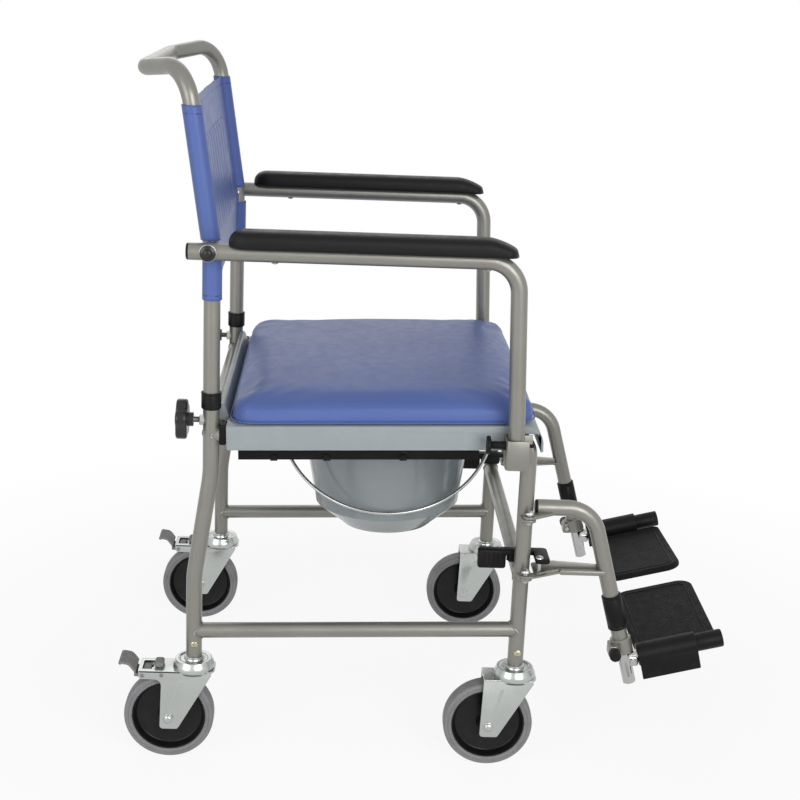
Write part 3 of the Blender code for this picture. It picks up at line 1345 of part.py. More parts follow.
for place_name, leg_y in (("rear", REAR_FOOT_Y), ("front", FRONT_LEG_Y)):
    axle_y = leg_y + TRAIL
    braked = place_name == "rear"
    tail_y = leg_y + YOKE_TAIL if braked else axle_y + FORK_HEEL
    cheek = rounded_corners(
        [
            (axle_y + FORK_HEEL, FORK_LOW_Z),
            (axle_y + FORK_HEEL, FORK_PLATE_Z + FORK_PLATE / 2),
            (leg_y - FORK_NOSE + BITE, FORK_PLATE_Z + FORK_PLATE / 2),
            (axle_y - FORK_TOE, FORK_LOW_Z),
        ],
        [FORK_HEEL / 2, 0, 0, FORK_HEEL / 2],
        30.0,
    )
    fork_parts = [
        slab(cheek, FORK_WALL, upright_at(FRAME_X - cheek_x)),
        slab(cheek, FORK_WALL, upright_at(FRAME_X + cheek_x)),
        turned(
            [
                (0.0, dome_top),
                (DOME_TOP_R, dome_top),
                ((DOME_TOP_R + 2 * DOME_R) / 3, dome_top - 0.2 * dome_high),
                (DOME_R, dome_top - 0.5 * dome_high),
                (DOME_R, FORK_PLATE_Z + FORK_PLATE / 2),
                (0.0, FORK_PLATE_Z + FORK_PLATE / 2),
            ],
            (FRAME_X, leg_y, 0),
            Matrix.Identity(4),
            20,
        ),
    ]
    fork_cuts = [
        rod(
            (FRAME_X, leg_y, LEG_FOOT_Z - STEM_LENGTH - GAP),
            (FRAME_X, leg_y, LEG_FOOT_Z),
            STEM_R + GAP,
            BORE_SIDES,
        ),
        rod(
            (FRAME_X - 2 * FORK_HALF, axle_y, WHEEL_R),
            (FRAME_X + 2 * FORK_HALF, axle_y, WHEEL_R),
            AXLE_R + GAP,
            BORE_SIDES,
        ),
    ]
    if braked:
        pedal_y = leg_y + PEDAL_AT
        ear = link_outline(
            (pedal_y, PEDAL_Z), PEDAL_EAR_R, (pedal_y, FORK_PLATE_Z + PEDAL_EAR_R + RUN), PEDAL_EAR_R, 5
        )
        fork_parts += [
            slab(ear, FORK_WALL, upright_at(FRAME_X - cheek_x)),
            slab(ear, FORK_WALL, upright_at(FRAME_X + cheek_x)),
            rod(
                (FRAME_X - cheek_x, pedal_y, PEDAL_Z),
                (FRAME_X + cheek_x, pedal_y, PEDAL_Z),
                PEDAL_PIN_R,
                10,
            ),
        ]
        slot_mid = (axle_y + FORK_HEEL + pedal_y) / 2
        fork_cuts.append(
            box(
                (FRAME_X - YOKE_SLOT_HALF, slot_mid - YOKE_SLOT_LONG / 2, FORK_PLATE_Z - BITE),
                (FRAME_X + YOKE_SLOT_HALF, slot_mid + YOKE_SLOT_LONG / 2, FORK_PLATE_Z + FORK_PLATE + BITE),
            )
        )
    fork = fused(
        box(
            (FRAME_X - FORK_HALF + GAP, leg_y - FORK_NOSE, FORK_PLATE_Z),
            (FRAME_X + FORK_HALF - GAP, tail_y, FORK_PLATE_Z + FORK_PLATE),
        ),
        *fork_parts,
    )
    pair(carved(fork, *fork_cuts), "fork_" + place_name, ZINC, datum, (FRAME_X, leg_y, LEG_FOOT_Z))

    centre = Vector((FRAME_X, axle_y, WHEEL_R))
    pair(turned(hub_profile, centre, ALONG_X), "hub_" + place_name, BLACK_PLASTIC, datum, centre)
    pair(turned(tyre_profile, centre, ALONG_X), "tyre_" + place_name, TYRE_GREY, datum, centre)
    head_in = FORK_HALF + GAP
    axle = fused(
        rod(centre - Vector((head_in + BITE, 0, 0)), centre + Vector((head_in + BITE, 0, 0)), AXLE_R, 12),
        rod(centre + Vector((head_in, 0, 0)), centre + Vector((head_in + AXLE_HEAD, 0, 0)), AXLE_HEAD_R, 12),
        rod(centre - Vector((head_in, 0, 0)), centre - Vector((head_in + AXLE_HEAD, 0, 0)), AXLE_HEAD_R, 6),
    )
    pair(axle, "axle_" + place_name, ZINC, datum, centre)

    if braked:
        pad_front = leg_y + YOKE_TAIL + CLEAR
        pad_rear = leg_y + PEDAL_END
        pad_long = pad_rear - pad_front
        low = PEDAL_Z - PEDAL_BARREL_R
        profile = [(pad_front, low), (pad_rear, low + PEDAL_LIFT)]
        pitch = pad_long / PEDAL_RIBS
        for i in range(PEDAL_RIBS):
            for share, rise in ((0.0, PEDAL_RIB), (0.5, PEDAL_RIB), (0.5, 0.0), (1.0, 0.0)):
                back_by = (i + share) * pitch
                top = low + PEDAL_THICK + PEDAL_LIFT * (1 - back_by / pad_long)
                if not (i == PEDAL_RIBS - 1 and share == 1.0 and rise == 0.0):
                    profile.append((pad_rear - back_by, top + rise))
        profile.append((pad_front, low + PEDAL_THICK))
        pedal = fused(
            slab(profile, 2 * PEDAL_HALF, upright_at(FRAME_X)),
            rod(
                (FRAME_X - PEDAL_BARREL_HALF, pedal_y, PEDAL_Z),
                (FRAME_X + PEDAL_BARREL_HALF, pedal_y, PEDAL_Z),
                PEDAL_BARREL_R,
                16,
            ),
            box(
                (FRAME_X - PEDAL_BARREL_HALF + RUN, pedal_y, PEDAL_Z - PEDAL_BARREL_R + RUN),
                (FRAME_X + PEDAL_BARREL_HALF - RUN, pad_front + BITE, PEDAL_Z + PEDAL_BARREL_R - BITE),
            ),
        )
        pedal = carved(
            pedal,
            rod(
                (FRAME_X - 2 * PEDAL_HALF, pedal_y, PEDAL_Z),
                (FRAME_X + 2 * PEDAL_HALF, pedal_y, PEDAL_Z),
                PEDAL_PIN_R + GAP,
                BORE_SIDES,
            ),
        )
        pair(pedal, "brake_pedal", PEDAL_GREY, datum, (FRAME_X, pedal_y, PEDAL_Z))
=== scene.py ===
"""Looks of the wheeled commode chair: fine tubes, castings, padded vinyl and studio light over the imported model.
Metres, +Z up, the sitter faces -Y, and the sitter's right side is at -X."""

import math

import bmesh
import bpy
from mathutils import Matrix, Vector, noise

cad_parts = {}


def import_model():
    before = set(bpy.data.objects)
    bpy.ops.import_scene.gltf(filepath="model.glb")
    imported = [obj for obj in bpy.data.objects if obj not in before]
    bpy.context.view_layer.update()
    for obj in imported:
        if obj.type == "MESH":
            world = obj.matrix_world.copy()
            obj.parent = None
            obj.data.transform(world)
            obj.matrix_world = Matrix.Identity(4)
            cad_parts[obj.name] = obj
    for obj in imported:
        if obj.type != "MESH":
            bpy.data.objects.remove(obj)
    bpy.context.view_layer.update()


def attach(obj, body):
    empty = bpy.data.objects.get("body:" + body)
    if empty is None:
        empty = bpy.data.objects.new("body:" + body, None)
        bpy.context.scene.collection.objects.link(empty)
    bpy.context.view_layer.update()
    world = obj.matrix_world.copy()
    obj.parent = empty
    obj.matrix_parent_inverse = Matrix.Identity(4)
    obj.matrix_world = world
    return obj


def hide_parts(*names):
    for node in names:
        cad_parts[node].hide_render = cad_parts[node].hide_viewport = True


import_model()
scene = bpy.context.scene

X, Y, Z = Vector((1, 0, 0)), Vector((0, 1, 0)), Vector((0, 0, 1))

# The seat and the footplates lie tilted, and the back leans above its bend
SEAT_TILT = math.radians(1.85)
FOOT_TILT = math.radians(14.4)
LEAN = math.tan(math.radians(8.4))
FALL = math.tan(SEAT_TILT)
RAIL_Z = 0.4789
BEND_Z = 0.72

# The model's datum planes
DATUM = Matrix.Translation((0, 0.1467, 0))
SEAT = DATUM @ Matrix.Translation((0, 0, RAIL_Z)) @ Matrix.Rotation(-SEAT_TILT, 4, "X")
SPINDLE = Vector((0.235, -0.44784, 0.17037))
FOOT = DATUM @ Matrix.Translation((0, SPINDLE.y, SPINDLE.z)) @ Matrix.Rotation(-FOOT_TILT, 4, "X")
FOOT_AHEAD = Vector((0, -math.cos(FOOT_TILT), math.sin(FOOT_TILT)))

# Tube radius, and where tubes, axes and pins stand
TUBE = 0.011
SIDE_X = 0.235
POST_Y = 0.148
REAR_Y = 0.1695
FRONT_Y = -0.278
FOOT_Z = 0.1508
ARM_X = 0.27
ARM_Z = 0.7265
ARM_FRONT = -0.2446
PIVOT_Y = 0.15
KNOB_Z = 0.494
PLUNGER_Z = 0.482
SCREW_Z = 0.1718
HINGE = (0.258, -0.281)
EARS = (0.376, 0.292)
HANGER_Z = 0.3845
LEVER_PIN = (0.24535, -0.30025)
CLAMP = (-0.4123, 0.1795)
PAN_Y = -0.0925

# The sling: its ends, its sewn panel, its hems and the pitch of its channels
SLING_LOW, SLING_HIGH = 0.6576, 0.9059
PANEL_HALF, PANEL_LOW, PANEL_HIGH = 0.166, 0.7064, 0.851
HEMS = (0.664, 0.8955)
CHANNEL = 0.0332


def rail_z(y):
    return RAIL_Z - y * FALL


def post_y(z):
    return POST_Y + max(0.0, z - BEND_Z) * LEAN


def arm_y(z):
    return ARM_FRONT - (ARM_Z - z) * 0.0454


# Shapes


def mm(*numbers):
    """Pairs of numbers in millimetres as points in metres."""
    return [(one / 1000, two / 1000) for one, two in zip(numbers[::2], numbers[1::2])]


def rounded(points, radii, step=6.0):
    """Corner points with an arc of each radius between the straight runs."""
    points = [Vector(point) for point in points]
    path = [points[0]]
    for before, corner, after, radius in zip(points, points[1:], points[2:], radii):
        back = (before - corner).normalized()
        on = (after - corner).normalized()
        turn = math.pi - back.angle(on)
        reach = radius * math.tan(turn / 2)
        centre = corner + (back + on).normalized() * (radius / math.cos(turn / 2))
        arm = corner + back * reach - centre
        axis = arm.cross(corner + on * reach - centre).normalized()
        count = max(3, round(math.degrees(turn) / step))
        for i in range(count + 1):
            path.append(centre + Matrix.Rotation(turn * i / count, 3, axis) @ arm)
    path.append(points[-1])
    return path


def arc(centre, radius, start, end, count):
    found = []
    for i in range(count + 1):
        angle = math.radians(start + (end - start) * i / count)
        found.append((centre[0] + radius * math.cos(angle), centre[1] + radius * math.sin(angle)))
    return found


def link(first, first_r, second, second_r, count=16):
    """The outline round two circles."""
    along = Vector(second) - Vector(first)
    heading = math.degrees(math.atan2(along.y, along.x))
    wrap = math.degrees(math.acos((first_r - second_r) / along.length))
    return arc(first, first_r, heading + wrap, heading + 360 - wrap, count) + arc(
        second, second_r, heading - wrap, heading + wrap, count
    )


def oblong(left, near, right, far):
    return [(left, near), (right, near), (right, far), (left, far)]


def corners(points, radii, step=12.0):
    """A flat outline with each corner rounded."""
    ring = [Vector((x, y, 0)) for x, y in points]
    found = []
    for i, radius in enumerate(radii):
        if radius == 0:
            found.append((ring[i].x, ring[i].y))
            continue
        run = rounded((ring[i - 1], ring[i], ring[(i + 1) % len(ring)]), (radius,), step)
        found += [(point.x, point.y) for point in run[1:-1]]
    return found


def add(name, data):
    made = bpy.data.objects.new(name, data)
    scene.collection.objects.link(made)
    return made


def placed(name, part):
    """A finished bmesh as an object in the scene."""
    mesh = bpy.data.meshes.new(name)
    part.to_mesh(mesh)
    part.free()
    return add(name, mesh)


def skin(part, rings, closed=False):
    """Faces between rings of equal length, with caps at the ends of an open run."""
    for low, high in list(zip(rings, rings[1:])) + [(rings[-1], rings[0])] * closed:
        for j in range(len(low)):
            k = (j + 1) % len(low)
            part.faces.new((low[j], low[k], high[k], high[j]))
    if not closed:
        part.faces.new(list(reversed(rings[0])))
        part.faces.new(rings[-1])


class Shape:
    """Parts gathered in one mesh, in the chair's datum frame."""

    def __init__(self):
        self.whole = bmesh.new()

    def take(self, part, matrix=None):
        if matrix is not None:
            bmesh.ops.transform(part, matrix=matrix, verts=part.verts)
        held = bpy.data.meshes.new("part")
        part.to_mesh(held)
        part.free()
        self.whole.from_mesh(held)
        bpy.data.meshes.remove(held)

    def sweep(self, points, radius, sides=32, edge=0.0005, closed=False):
        """A round bar along a path, its ends softened."""
        points = [Vector(point) for point in points]
        radii = list(radius) if hasattr(radius, "__len__") else [radius] * len(points)
        if edge and not closed:
            for end, inner in ((0, 1), (-1, -2)):
                on = (points[inner] - points[end]).normalized()
                at = 1 if end == 0 else len(points) - 1
                points.insert(at, points[end] + on * edge)
                radii.insert(at, radii[end])
            radii[0] -= edge
            radii[-1] -= edge
        part = bmesh.new()
        count = len(points)
        tangents = []
        for i in range(count):
            if closed:
                tangent = points[(i + 1) % count] - points[i - 1]
            else:
                tangent = points[min(i + 1, count - 1)] - points[max(i - 1, 0)]
            tangents.append(tangent.normalized())
        side = tangents[0].orthogonal().normalized()
        rings = []
        for i in range(count):
            if i:
                side = tangents[i - 1].rotation_difference(tangents[i]) @ side
            side = (side - tangents[i] * side.dot(tangents[i])).normalized()
            up = tangents[i].cross(side)
            ring = []
            for j in range(sides):
                angle = 2 * math.pi * j / sides
                ring.append(part.verts.new(points[i] + (side * math.cos(angle) + up * math.sin(angle)) * radii[i]))
            rings.append(ring)
        skin(part, rings, closed)
        self.take(part)

    def rod(self, start, end, radius, sides=32, edge=0.0005):
        self.sweep((start, end), radius, sides, edge)

    def turned(self, profile, start, heading, steps=48, closed=False):
        """A profile of (radius, distance) pairs turned about the line that heads from start."""
        part = bmesh.new()
        angles = [2 * math.pi * j / steps for j in range(steps)]
        rings = []
        for radius, distance in profile:
            spots = [(radius * math.cos(angle), radius * math.sin(angle), distance) for angle in angles]
            rings.append([part.verts.new(spot) for spot in (spots if radius else [(0, 0, distance)])])
        for low, high in list(zip(rings, rings[1:])) + [(rings[-1], rings[0])] * closed:
            for j in range(steps):
                k = (j + 1) % steps
                if len(low) == len(high) == 1:
                    continue
                if len(low) == 1:
                    part.faces.new((low[0], high[k], high[j]))
                elif len(high) == 1:
                    part.faces.new((low[j], low[k], high[0]))
                else:
                    part.faces.new((low[j], low[k], high[k], high[j]))
        bmesh.ops.recalc_face_normals(part, faces=part.faces)
        turn = Z.rotation_difference(heading).to_matrix().to_4x4()
        self.take(part, Matrix.Translation(start) @ turn)

    def plate(self, outline, low, high, matrix=None, edge=0.0006, segments=2, holes=()):
        """A flat outline from low to high along its normal, with softened edges."""
        part = bmesh.new()
        levels = []
        for z in (low, high):
            loops = [[part.verts.new((x, y, z)) for x, y in loop] for loop in (outline, *holes)]
            levels.append(loops)
            if not holes:
                part.faces.new(loops[0])
                continue
            edges = [part.edges.new((ring[i - 1], ring[i])) for ring in loops for i in range(len(ring))]
            bmesh.ops.triangle_fill(part, use_beauty=True, edges=edges)
        for bottom, top in zip(*levels):
            for i in range(len(bottom)):
                part.faces.new((bottom[i - 1], bottom[i], top[i], top[i - 1]))
        bmesh.ops.recalc_face_normals(part, faces=part.faces)
        if edge:
            sharp = [e for e in part.edges if e.calc_face_angle(0) > math.radians(30)]
            bmesh.ops.bevel(
                part, geom=sharp, offset=edge, segments=segments, affect="EDGES", profile=0.5, clamp_overlap=True
            )
        self.take(part, matrix)

    def block(self, low, high, edge=0.0008, matrix=None, segments=2):
        self.plate(oblong(*low[:2], *high[:2]), low[2], high[2], matrix, edge, segments)

    def finish(self, name, look, body, slot, nodes=(), mirrored=False, datum=DATUM, sharp=38.0):
        """The gathered parts as a piece that rides on a body."""
        bmesh.ops.transform(self.whole, matrix=datum, verts=self.whole.verts)
        if mirrored:
            bmesh.ops.transform(self.whole, matrix=Matrix.Scale(-1, 4, (1, 0, 0)), verts=self.whole.verts)
            bmesh.ops.reverse_faces(self.whole, faces=self.whole.faces)
        piece = placed(name, self.whole)
        piece.data.shade_smooth()
        piece.data.set_sharp_from_angle(angle=math.radians(sharp))
        piece.data.materials.append(look)
        return settle(piece, body, nodes)


def settle(piece, body, nodes=()):
    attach(piece, body)
    if nodes:
        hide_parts(*nodes)
    return piece


def both(make, name, look, body, slot, nodes=(), **more):
    """A left-hand piece and its mirrored right-hand twin. Names may hold a star for the side."""
    for side in ("left", "right"):
        shape = Shape()
        make(shape)
        shape.finish(
            name.replace("*", side),
            look,
            body.replace("*", side),
            slot,
            [node.replace("*", side) for node in nodes],
            side == "right",
            **more,
        )


def upright(x):
    """A plane across X: an outline's numbers run along Y and Z."""
    return Matrix(((0, 0, 1, x), (1, 0, 0, 0), (0, 1, 0, 0), (0, 0, 0, 1)))


def across(y):
    """A plane across Y: an outline's numbers run along X and Z, and its normal along -Y."""
    return Matrix(((1, 0, 0, 0), (0, 0, -1, y), (0, 1, 0, 0), (0, 0, 0, 1)))


# Materials


class Look:
    """A Principled material with procedural colour, gloss and relief."""

    def __init__(self, name, colour, roughness, metallic=0.0, **sockets):
        self.made = bpy.data.materials.new(name)
        self.made.use_nodes = True
        self.tree = self.made.node_tree
        self.shader = self.tree.nodes["Principled BSDF"]
        self.shader.inputs["Base Color"].default_value = (*colour, 1)
        self.shader.inputs["Roughness"].default_value = roughness
        self.shader.inputs["Metallic"].default_value = metallic
        for key, value in sockets.items():
            self.shader.inputs[key.replace("_", " ")].default_value = value
        self.place = self.node("ShaderNodeTexCoord").outputs["Object"]
        self.colour = None
        self.base = colour
        self.relief = None

    def node(self, kind, **settings):
        node = self.tree.nodes.new(kind)
        for key, value in settings.items():
            setattr(node, key, value)
        return node

    def join(self, source, target):
        self.tree.links.new(source, target)

    def noise(self, scale, detail=3.0, rough=0.5, stretch=None):
        place = self.place
        if stretch is not None:
            mapping = self.node("ShaderNodeMapping")
            mapping.inputs["Scale"].default_value = stretch
            self.join(place, mapping.inputs["Vector"])
            place = mapping.outputs["Vector"]
        node = self.node("ShaderNodeTexNoise")
        for name, value in (("Scale", scale), ("Detail", detail), ("Roughness", rough)):
            node.inputs[name].default_value = value
        self.join(place, node.inputs["Vector"])
        return node.outputs["Fac"]

    def cells(self, scale, feature="F1"):
        node = self.node("ShaderNodeTexVoronoi", feature=feature)
        node.inputs["Scale"].default_value = scale
        self.join(self.place, node.inputs["Vector"])
        return node.outputs["Distance"]

    def maths(self, operation, *values):
        node = self.node("ShaderNodeMath", operation=operation)
        for slot, value in zip(node.inputs, values):
            if isinstance(value, (int, float)):
                slot.default_value = value
            else:
                self.join(value, slot)
        return node.outputs[0]

    def times(self, one, two):
        return self.maths("MULTIPLY", one, two)

    def span(self, value, low, high, new_low, new_high, smooth=False):
        node = self.node("ShaderNodeMapRange")
        if smooth:
            node.interpolation_type = "SMOOTHSTEP"
        for name, limit in zip(("From Min", "From Max", "To Min", "To Max"), (low, high, new_low, new_high)):
            node.inputs[name].default_value = limit
        self.join(value, node.inputs["Value"])
        return node.outputs["Result"]

    def tint(self, fac, colour, amount=1.0):
        """Blends another colour in where fac is high."""
        mix = self.node("ShaderNodeMix", data_type="RGBA")
        if amount != 1.0:
            fac = self.times(fac, amount)
        self.join(fac, mix.inputs["Factor"])
        if self.colour is None:
            mix.inputs["A"].default_value = (*self.base, 1)
        else:
            self.join(self.colour, mix.inputs["A"])
        mix.inputs["B"].default_value = (*colour, 1)
        self.colour = mix.outputs["Result"]
        self.join(self.colour, self.shader.inputs["Base Color"])

    def clouds(self, scale, detail, low, high, colour, amount):
        """Another colour in soft patches."""
        self.tint(self.span(self.noise(scale, detail), low, high, 0, 1, True), colour, amount)

    def gloss(self, scale, detail, low, high):
        """Roughness that wanders between two values."""
        self.join(self.span(self.noise(scale, detail), 0.3, 0.7, low, high), self.shader.inputs["Roughness"])

    def bump(self, height, distance, strength=1.0):
        """Relief whose height value runs from 0 to 1 over a distance in metres."""
        node = self.node("ShaderNodeBump")
        node.inputs["Strength"].default_value = strength
        node.inputs["Distance"].default_value = distance
        self.join(height, node.inputs["Height"])
        if self.relief is not None:
            self.join(self.relief, node.inputs["Normal"])
        self.relief = node.outputs["Normal"]
        self.join(self.relief, self.shader.inputs["Normal"])


def painted():
    look = Look("champagne_paint", (0.232, 0.227, 0.202), 0.36, 0.5, Coat_Weight=0.15, Coat_Roughness=0.25)
    flakes = look.cells(5200)
    look.tint(look.span(flakes, 0.0, 0.45, 1.0, 0.0), (0.36, 0.352, 0.32), 0.35)
    look.clouds(14, 3, 0.42, 0.7, (0.196, 0.191, 0.168), 0.35)
    look.clouds(420, 5, 0.7, 0.78, (0.16, 0.15, 0.135), 0.35)
    look.gloss(60, 4, 0.29, 0.41)
    look.bump(look.noise(900, 2), 0.00004)
    look.bump(look.noise(60, 2), 0.00008)
    return look.made


def vinyl():
    look = Look("blue_vinyl", (0.094, 0.145, 0.385), 0.36, 0.0, Specular_IOR_Level=0.21)
    look.clouds(9, 3, 0.4, 0.7, (0.1, 0.153, 0.395), 0.6)
    pores = look.cells(1500)
    look.tint(look.span(pores, 0.28, 0.02, 0.0, 1.0), (0.062, 0.1, 0.29), 0.35)
    look.gloss(70, 4, 0.31, 0.42)
    look.bump(look.cells(1500, "SMOOTH_F1"), 0.0001, 0.55)
    look.bump(look.noise(260, 4), 0.00012, 0.5)
    return look


def sling_vinyl():
    """The back's vinyl: welded ribs in the middle of its panel, with painted shade in their grooves, and stitched
    hems.
    """
    look = vinyl()
    look.made.name = "sling_vinyl"
    split = look.node("ShaderNodeSeparateXYZ")
    look.join(look.place, split.inputs[0])
    x, z = split.outputs["X"], split.outputs["Z"]
    inset = look.maths("ABSOLUTE", x)
    inside = look.times(
        look.span(inset, PANEL_HALF, PANEL_HALF - 0.002, 0, 1, True),
        look.times(look.span(z, 0.706, 0.708, 0, 1, True), look.span(z, 0.852, 0.85, 0, 1, True)),
    )
    wave = look.maths("COSINE", look.times(x, 2 * math.pi / CHANNEL))
    groove = look.times(look.span(wave, 0.94, 1, 0, 1, True), inside)
    look.bump(look.maths("SUBTRACT", 1.0, groove), 0.0009, 0.9)
    # Painted shade: the vinyl is coloured darker along the welded grooves, where the relief dips.
    look.tint(groove, (0.05, 0.085, 0.33), 0.6)
    edge = 0.00045
    for value, other, lines in ((inset, z, (0.1655,)), (z, inset, (PANEL_LOW, PANEL_HIGH, *HEMS))):
        for line in lines:
            near = look.maths("ABSOLUTE", look.maths("SUBTRACT", value, line))
            seam = look.span(near, edge, 2.2 * edge, 1, 0, True)
            if value is inset:
                limit = look.times(look.span(z, 0.706, 0.7063, 0, 1), look.span(z, 0.8515, 0.8512, 0, 1))
            elif line not in HEMS:
                limit = look.span(inset, 0.166, 0.1657, 0, 1)
            else:
                limit = 1.0
            stitches = look.maths("SINE", look.times(other, 2 * math.pi / 0.0036))
            dashes = look.span(stitches, -0.55, -0.2, 0, 1)
            run = look.times(seam, limit)
            look.tint(look.times(run, dashes), (0.035, 0.06, 0.26), 0.85)
            look.bump(look.maths("SUBTRACT", 1.0, run), 0.0005, 0.8)
    return look.made


def moulded(name, colour, roughness, grain=0.00006, scale=1400, lift=0.15, gleam=0.25):
    """Fine-textured moulded plastic with light scuffing."""
    look = Look(name, colour, roughness, 0.0, Specular_IOR_Level=gleam)
    paler = tuple(min(1.0, c + lift * (0.04 + c)) for c in colour)
    look.clouds(38, 4, 0.45, 0.72, paler, 0.6)
    scuff = look.noise(150, 6, 0.6, (1.0, 0.25, 1.0))
    look.tint(look.span(scuff, 0.66, 0.78, 0, 1, True), tuple(min(1.0, c + 0.05) for c in colour), 0.5)
    look.gloss(90, 4, roughness - 0.05, roughness + 0.07)
    look.bump(look.noise(scale, 3), grain)
    return look


def metal(name, colour, roughness, grain=0.00002, cloud=0.2, speck=0.15):
    look = Look(name, colour, roughness, 1.0)
    darker = tuple(c * 0.72 for c in colour)
    look.clouds(24, 4, 0.4, 0.72, darker, cloud)
    look.clouds(380, 5, 0.66, 0.76, tuple(c * 0.6 for c in colour), speck)
    look.gloss(40, 3, roughness * 0.85, roughness * 1.2)
    look.bump(look.noise(700, 3), grain)
    return look.made


def foam_skin():
    look = Look("pad_skin", (0.008, 0.008, 0.008), 0.45, 0.0, Specular_IOR_Level=0.16)
    grain = look.cells(1300, "SMOOTH_F1")
    look.tint(look.span(look.cells(2300), 0.1, 0.0, 0, 1), (0.12, 0.12, 0.12), 0.55)
    look.gloss(80, 4, 0.36, 0.5)
    look.bump(grain, 0.00022, 0.8)
    look.bump(look.noise(500, 3), 0.00012, 0.6)
    return look.made


def rubber():
    look = Look("tyre_rubber", (0.215, 0.215, 0.222), 0.55)
    look.clouds(45, 5, 0.42, 0.72, (0.165, 0.165, 0.168), 0.6)
    look.tint(look.span(look.noise(600, 4), 0.62, 0.75, 0, 1), (0.28, 0.28, 0.28), 0.4)
    look.gloss(110, 4, 0.48, 0.66)
    look.bump(look.noise(900, 4), 0.0001)
    return look.made


def tread():
    """The footplates' black plastic, with fine slanting ribs on the tread's face and a painted highlight on their
    crests.
    """
    look = moulded("tread_plastic", (0.006, 0.006, 0.0065), 0.5, gleam=0.08)
    split = look.node("ShaderNodeSeparateXYZ")
    look.join(look.place, split.inputs[0])
    slant = look.maths("ADD", look.times(split.outputs["X"], 0.55), split.outputs["Y"])
    wave = look.maths("SINE", look.times(slant, 2 * math.pi / 0.0026))
    look.bump(look.span(wave, -1, 1, 0, 1), 0.00045, 0.8)
    # Painted highlight: the rib crests are coloured lighter, as if catching the light.
    look.tint(look.span(wave, 0.4, 1, 0, 1), (0.019, 0.019, 0.02), 0.5)
    return look.made


PAINT = painted()
VINYL = vinyl().made
SLING = sling_vinyl()
BLACK = moulded("black_plastic", (0.007, 0.007, 0.007), 0.44, gleam=0.13).made
GLOSSY_BLACK = moulded("glossy_black", (0.012, 0.012, 0.012), 0.22, 0.00003, gleam=0.4).made
HUB = moulded("hub_plastic", (0.006, 0.006, 0.006), 0.3, 0.00006, 900, gleam=0.22).made
BOARD = moulded("board_grey", (0.292, 0.327, 0.34), 0.33, 0.00005, 1100, 0.06, 0.4).made
PAN = moulded("pan_grey", (0.235, 0.265, 0.275), 0.14, 0.00002, 500, 0.05, 0.5).made
PEDAL = moulded("pedal_grey", (0.2, 0.2, 0.195), 0.45, 0.00006, 1200).made
TREAD = tread()
PAD = foam_skin()
TYRE = rubber()
ZINC = metal("zinc", (0.47, 0.49, 0.475), 0.27, 0.000012)
STEEL = metal("dark_steel", (0.3, 0.3, 0.29), 0.35)
GILT = metal("yellow_zinc", (0.5, 0.47, 0.32), 0.22)
CHROME = metal("chrome", (0.44, 0.44, 0.435), 0.12, 0.00001, 0.2)

# Side frames


def weld(shape, on, toward, host_axis, radius=TUBE, host=TUBE, bead=0.0015):
    """The bead where a tube of one radius leaves another along a direction."""
    toward = Vector(toward).normalized()
    side = Vector(host_axis) - toward * toward.dot(Vector(host_axis))
    side.normalize()
    other = toward.cross(side)
    ring, sizes = [], []
    for i in range(48):
        angle = 2 * math.pi * i / 48
        out = radius * math.sin(angle)
        depth = math.sqrt(max(0.0, host * host - out * out))
        ring.append(Vector(on) + toward * depth + side * radius * math.cos(angle) + other * out)
        sizes.append(bead * (1 + 0.18 * math.sin(9 * angle) * math.sin(4 * angle + 1)))
    shape.sweep(ring, sizes, 8, closed=True)


def side_frame(s):
    rear_top, rear_low = (SIDE_X, POST_Y, rail_z(POST_Y)), (SIDE_X, REAR_Y, 0.189)
    front_low = (SIDE_X, FRONT_Y, 0.204)
    front_leg = [rear_top, (SIDE_X, FRONT_Y, rail_z(FRONT_Y)), (SIDE_X, FRONT_Y, FOOT_Z)]
    s.sweep(rounded(front_leg, (0.03,)), TUBE - 0.0001)
    rear_leg = [(SIDE_X, y, z) for y, z in ((POST_Y, 0.5166), (POST_Y, 0.418), (REAR_Y, 0.27), (REAR_Y, FOOT_Z))]
    s.sweep(rounded(rear_leg, (0.15, 0.15), 2.0), TUBE)
    s.sweep([rear_low, front_low], TUBE - 0.0003)
    for at, toward in ((rear_top, (0, -1, FALL)), (rear_low, (0, -1, 0.0335)), (front_low, (0, 1, -0.0335))):
        weld(s, at, toward, Z)
    for top in EARS:
        s.plate(link(HINGE, 0.0092, (SIDE_X, FRONT_Y), 0.0076), top - 0.004, top, edge=0.0007)
    folded = corners(
        mm(251.5, -279, 254.5, -279, 254.5, -243.8, 281.8, -243.8, 281.8, -271.2, 284.1, -271.2, 284.1, -241.3,
           251.5, -241.3),
        (0, 0, 0.001, 0.003, 0, 0, 0.0055, 0.002),
    )
    s.plate(folded, 0.4512, 0.4915, edge=0.0007)
    s.block((0.2518, -0.2705, 0.4515), (0.2835, -0.2418, 0.4537), 0.0008)
    s.block((SIDE_X, -0.2815, 0.453), (0.2532, -0.264, 0.4765), 0.0012)


def plunger_housing(s):
    s.turned(mm(0, 0, 5.8, 0, 6, 0.6, 6, 4, 5.2, 4.6, 5.2, 18, 4.7, 19, 0, 19), (ARM_X, -0.2415, PLUNGER_Z), Y, 40)


def leg_screws(s):
    for y in (REAR_Y, FRONT_Y):
        s.turned(mm(0, 0, 4.7, 0, 5, 0.4, 4.6, 1.2, 3, 1.9, 1.2, 2.1, 0, 2.1),
                 (SIDE_X + TUBE - 0.0008, y - 0.0012, SCREW_Z), X, 24)


# Painted shade: dark steel blocks a hair proud of the leg screws stand in for the shade in their cross recesses.
def screw_recess_shade(s):
    for y in (REAR_Y, FRONT_Y):
        for turn in (0.4, 0.4 + math.pi / 2):
            where = Matrix.Translation((SIDE_X + TUBE + 0.0011, y - 0.0012, SCREW_Z)) @ Matrix.Rotation(turn, 4, "X")
            s.block((-0.0003, -0.0023, -0.00035), (0.0003, 0.0023, 0.00035), 0.0001, where, 1)


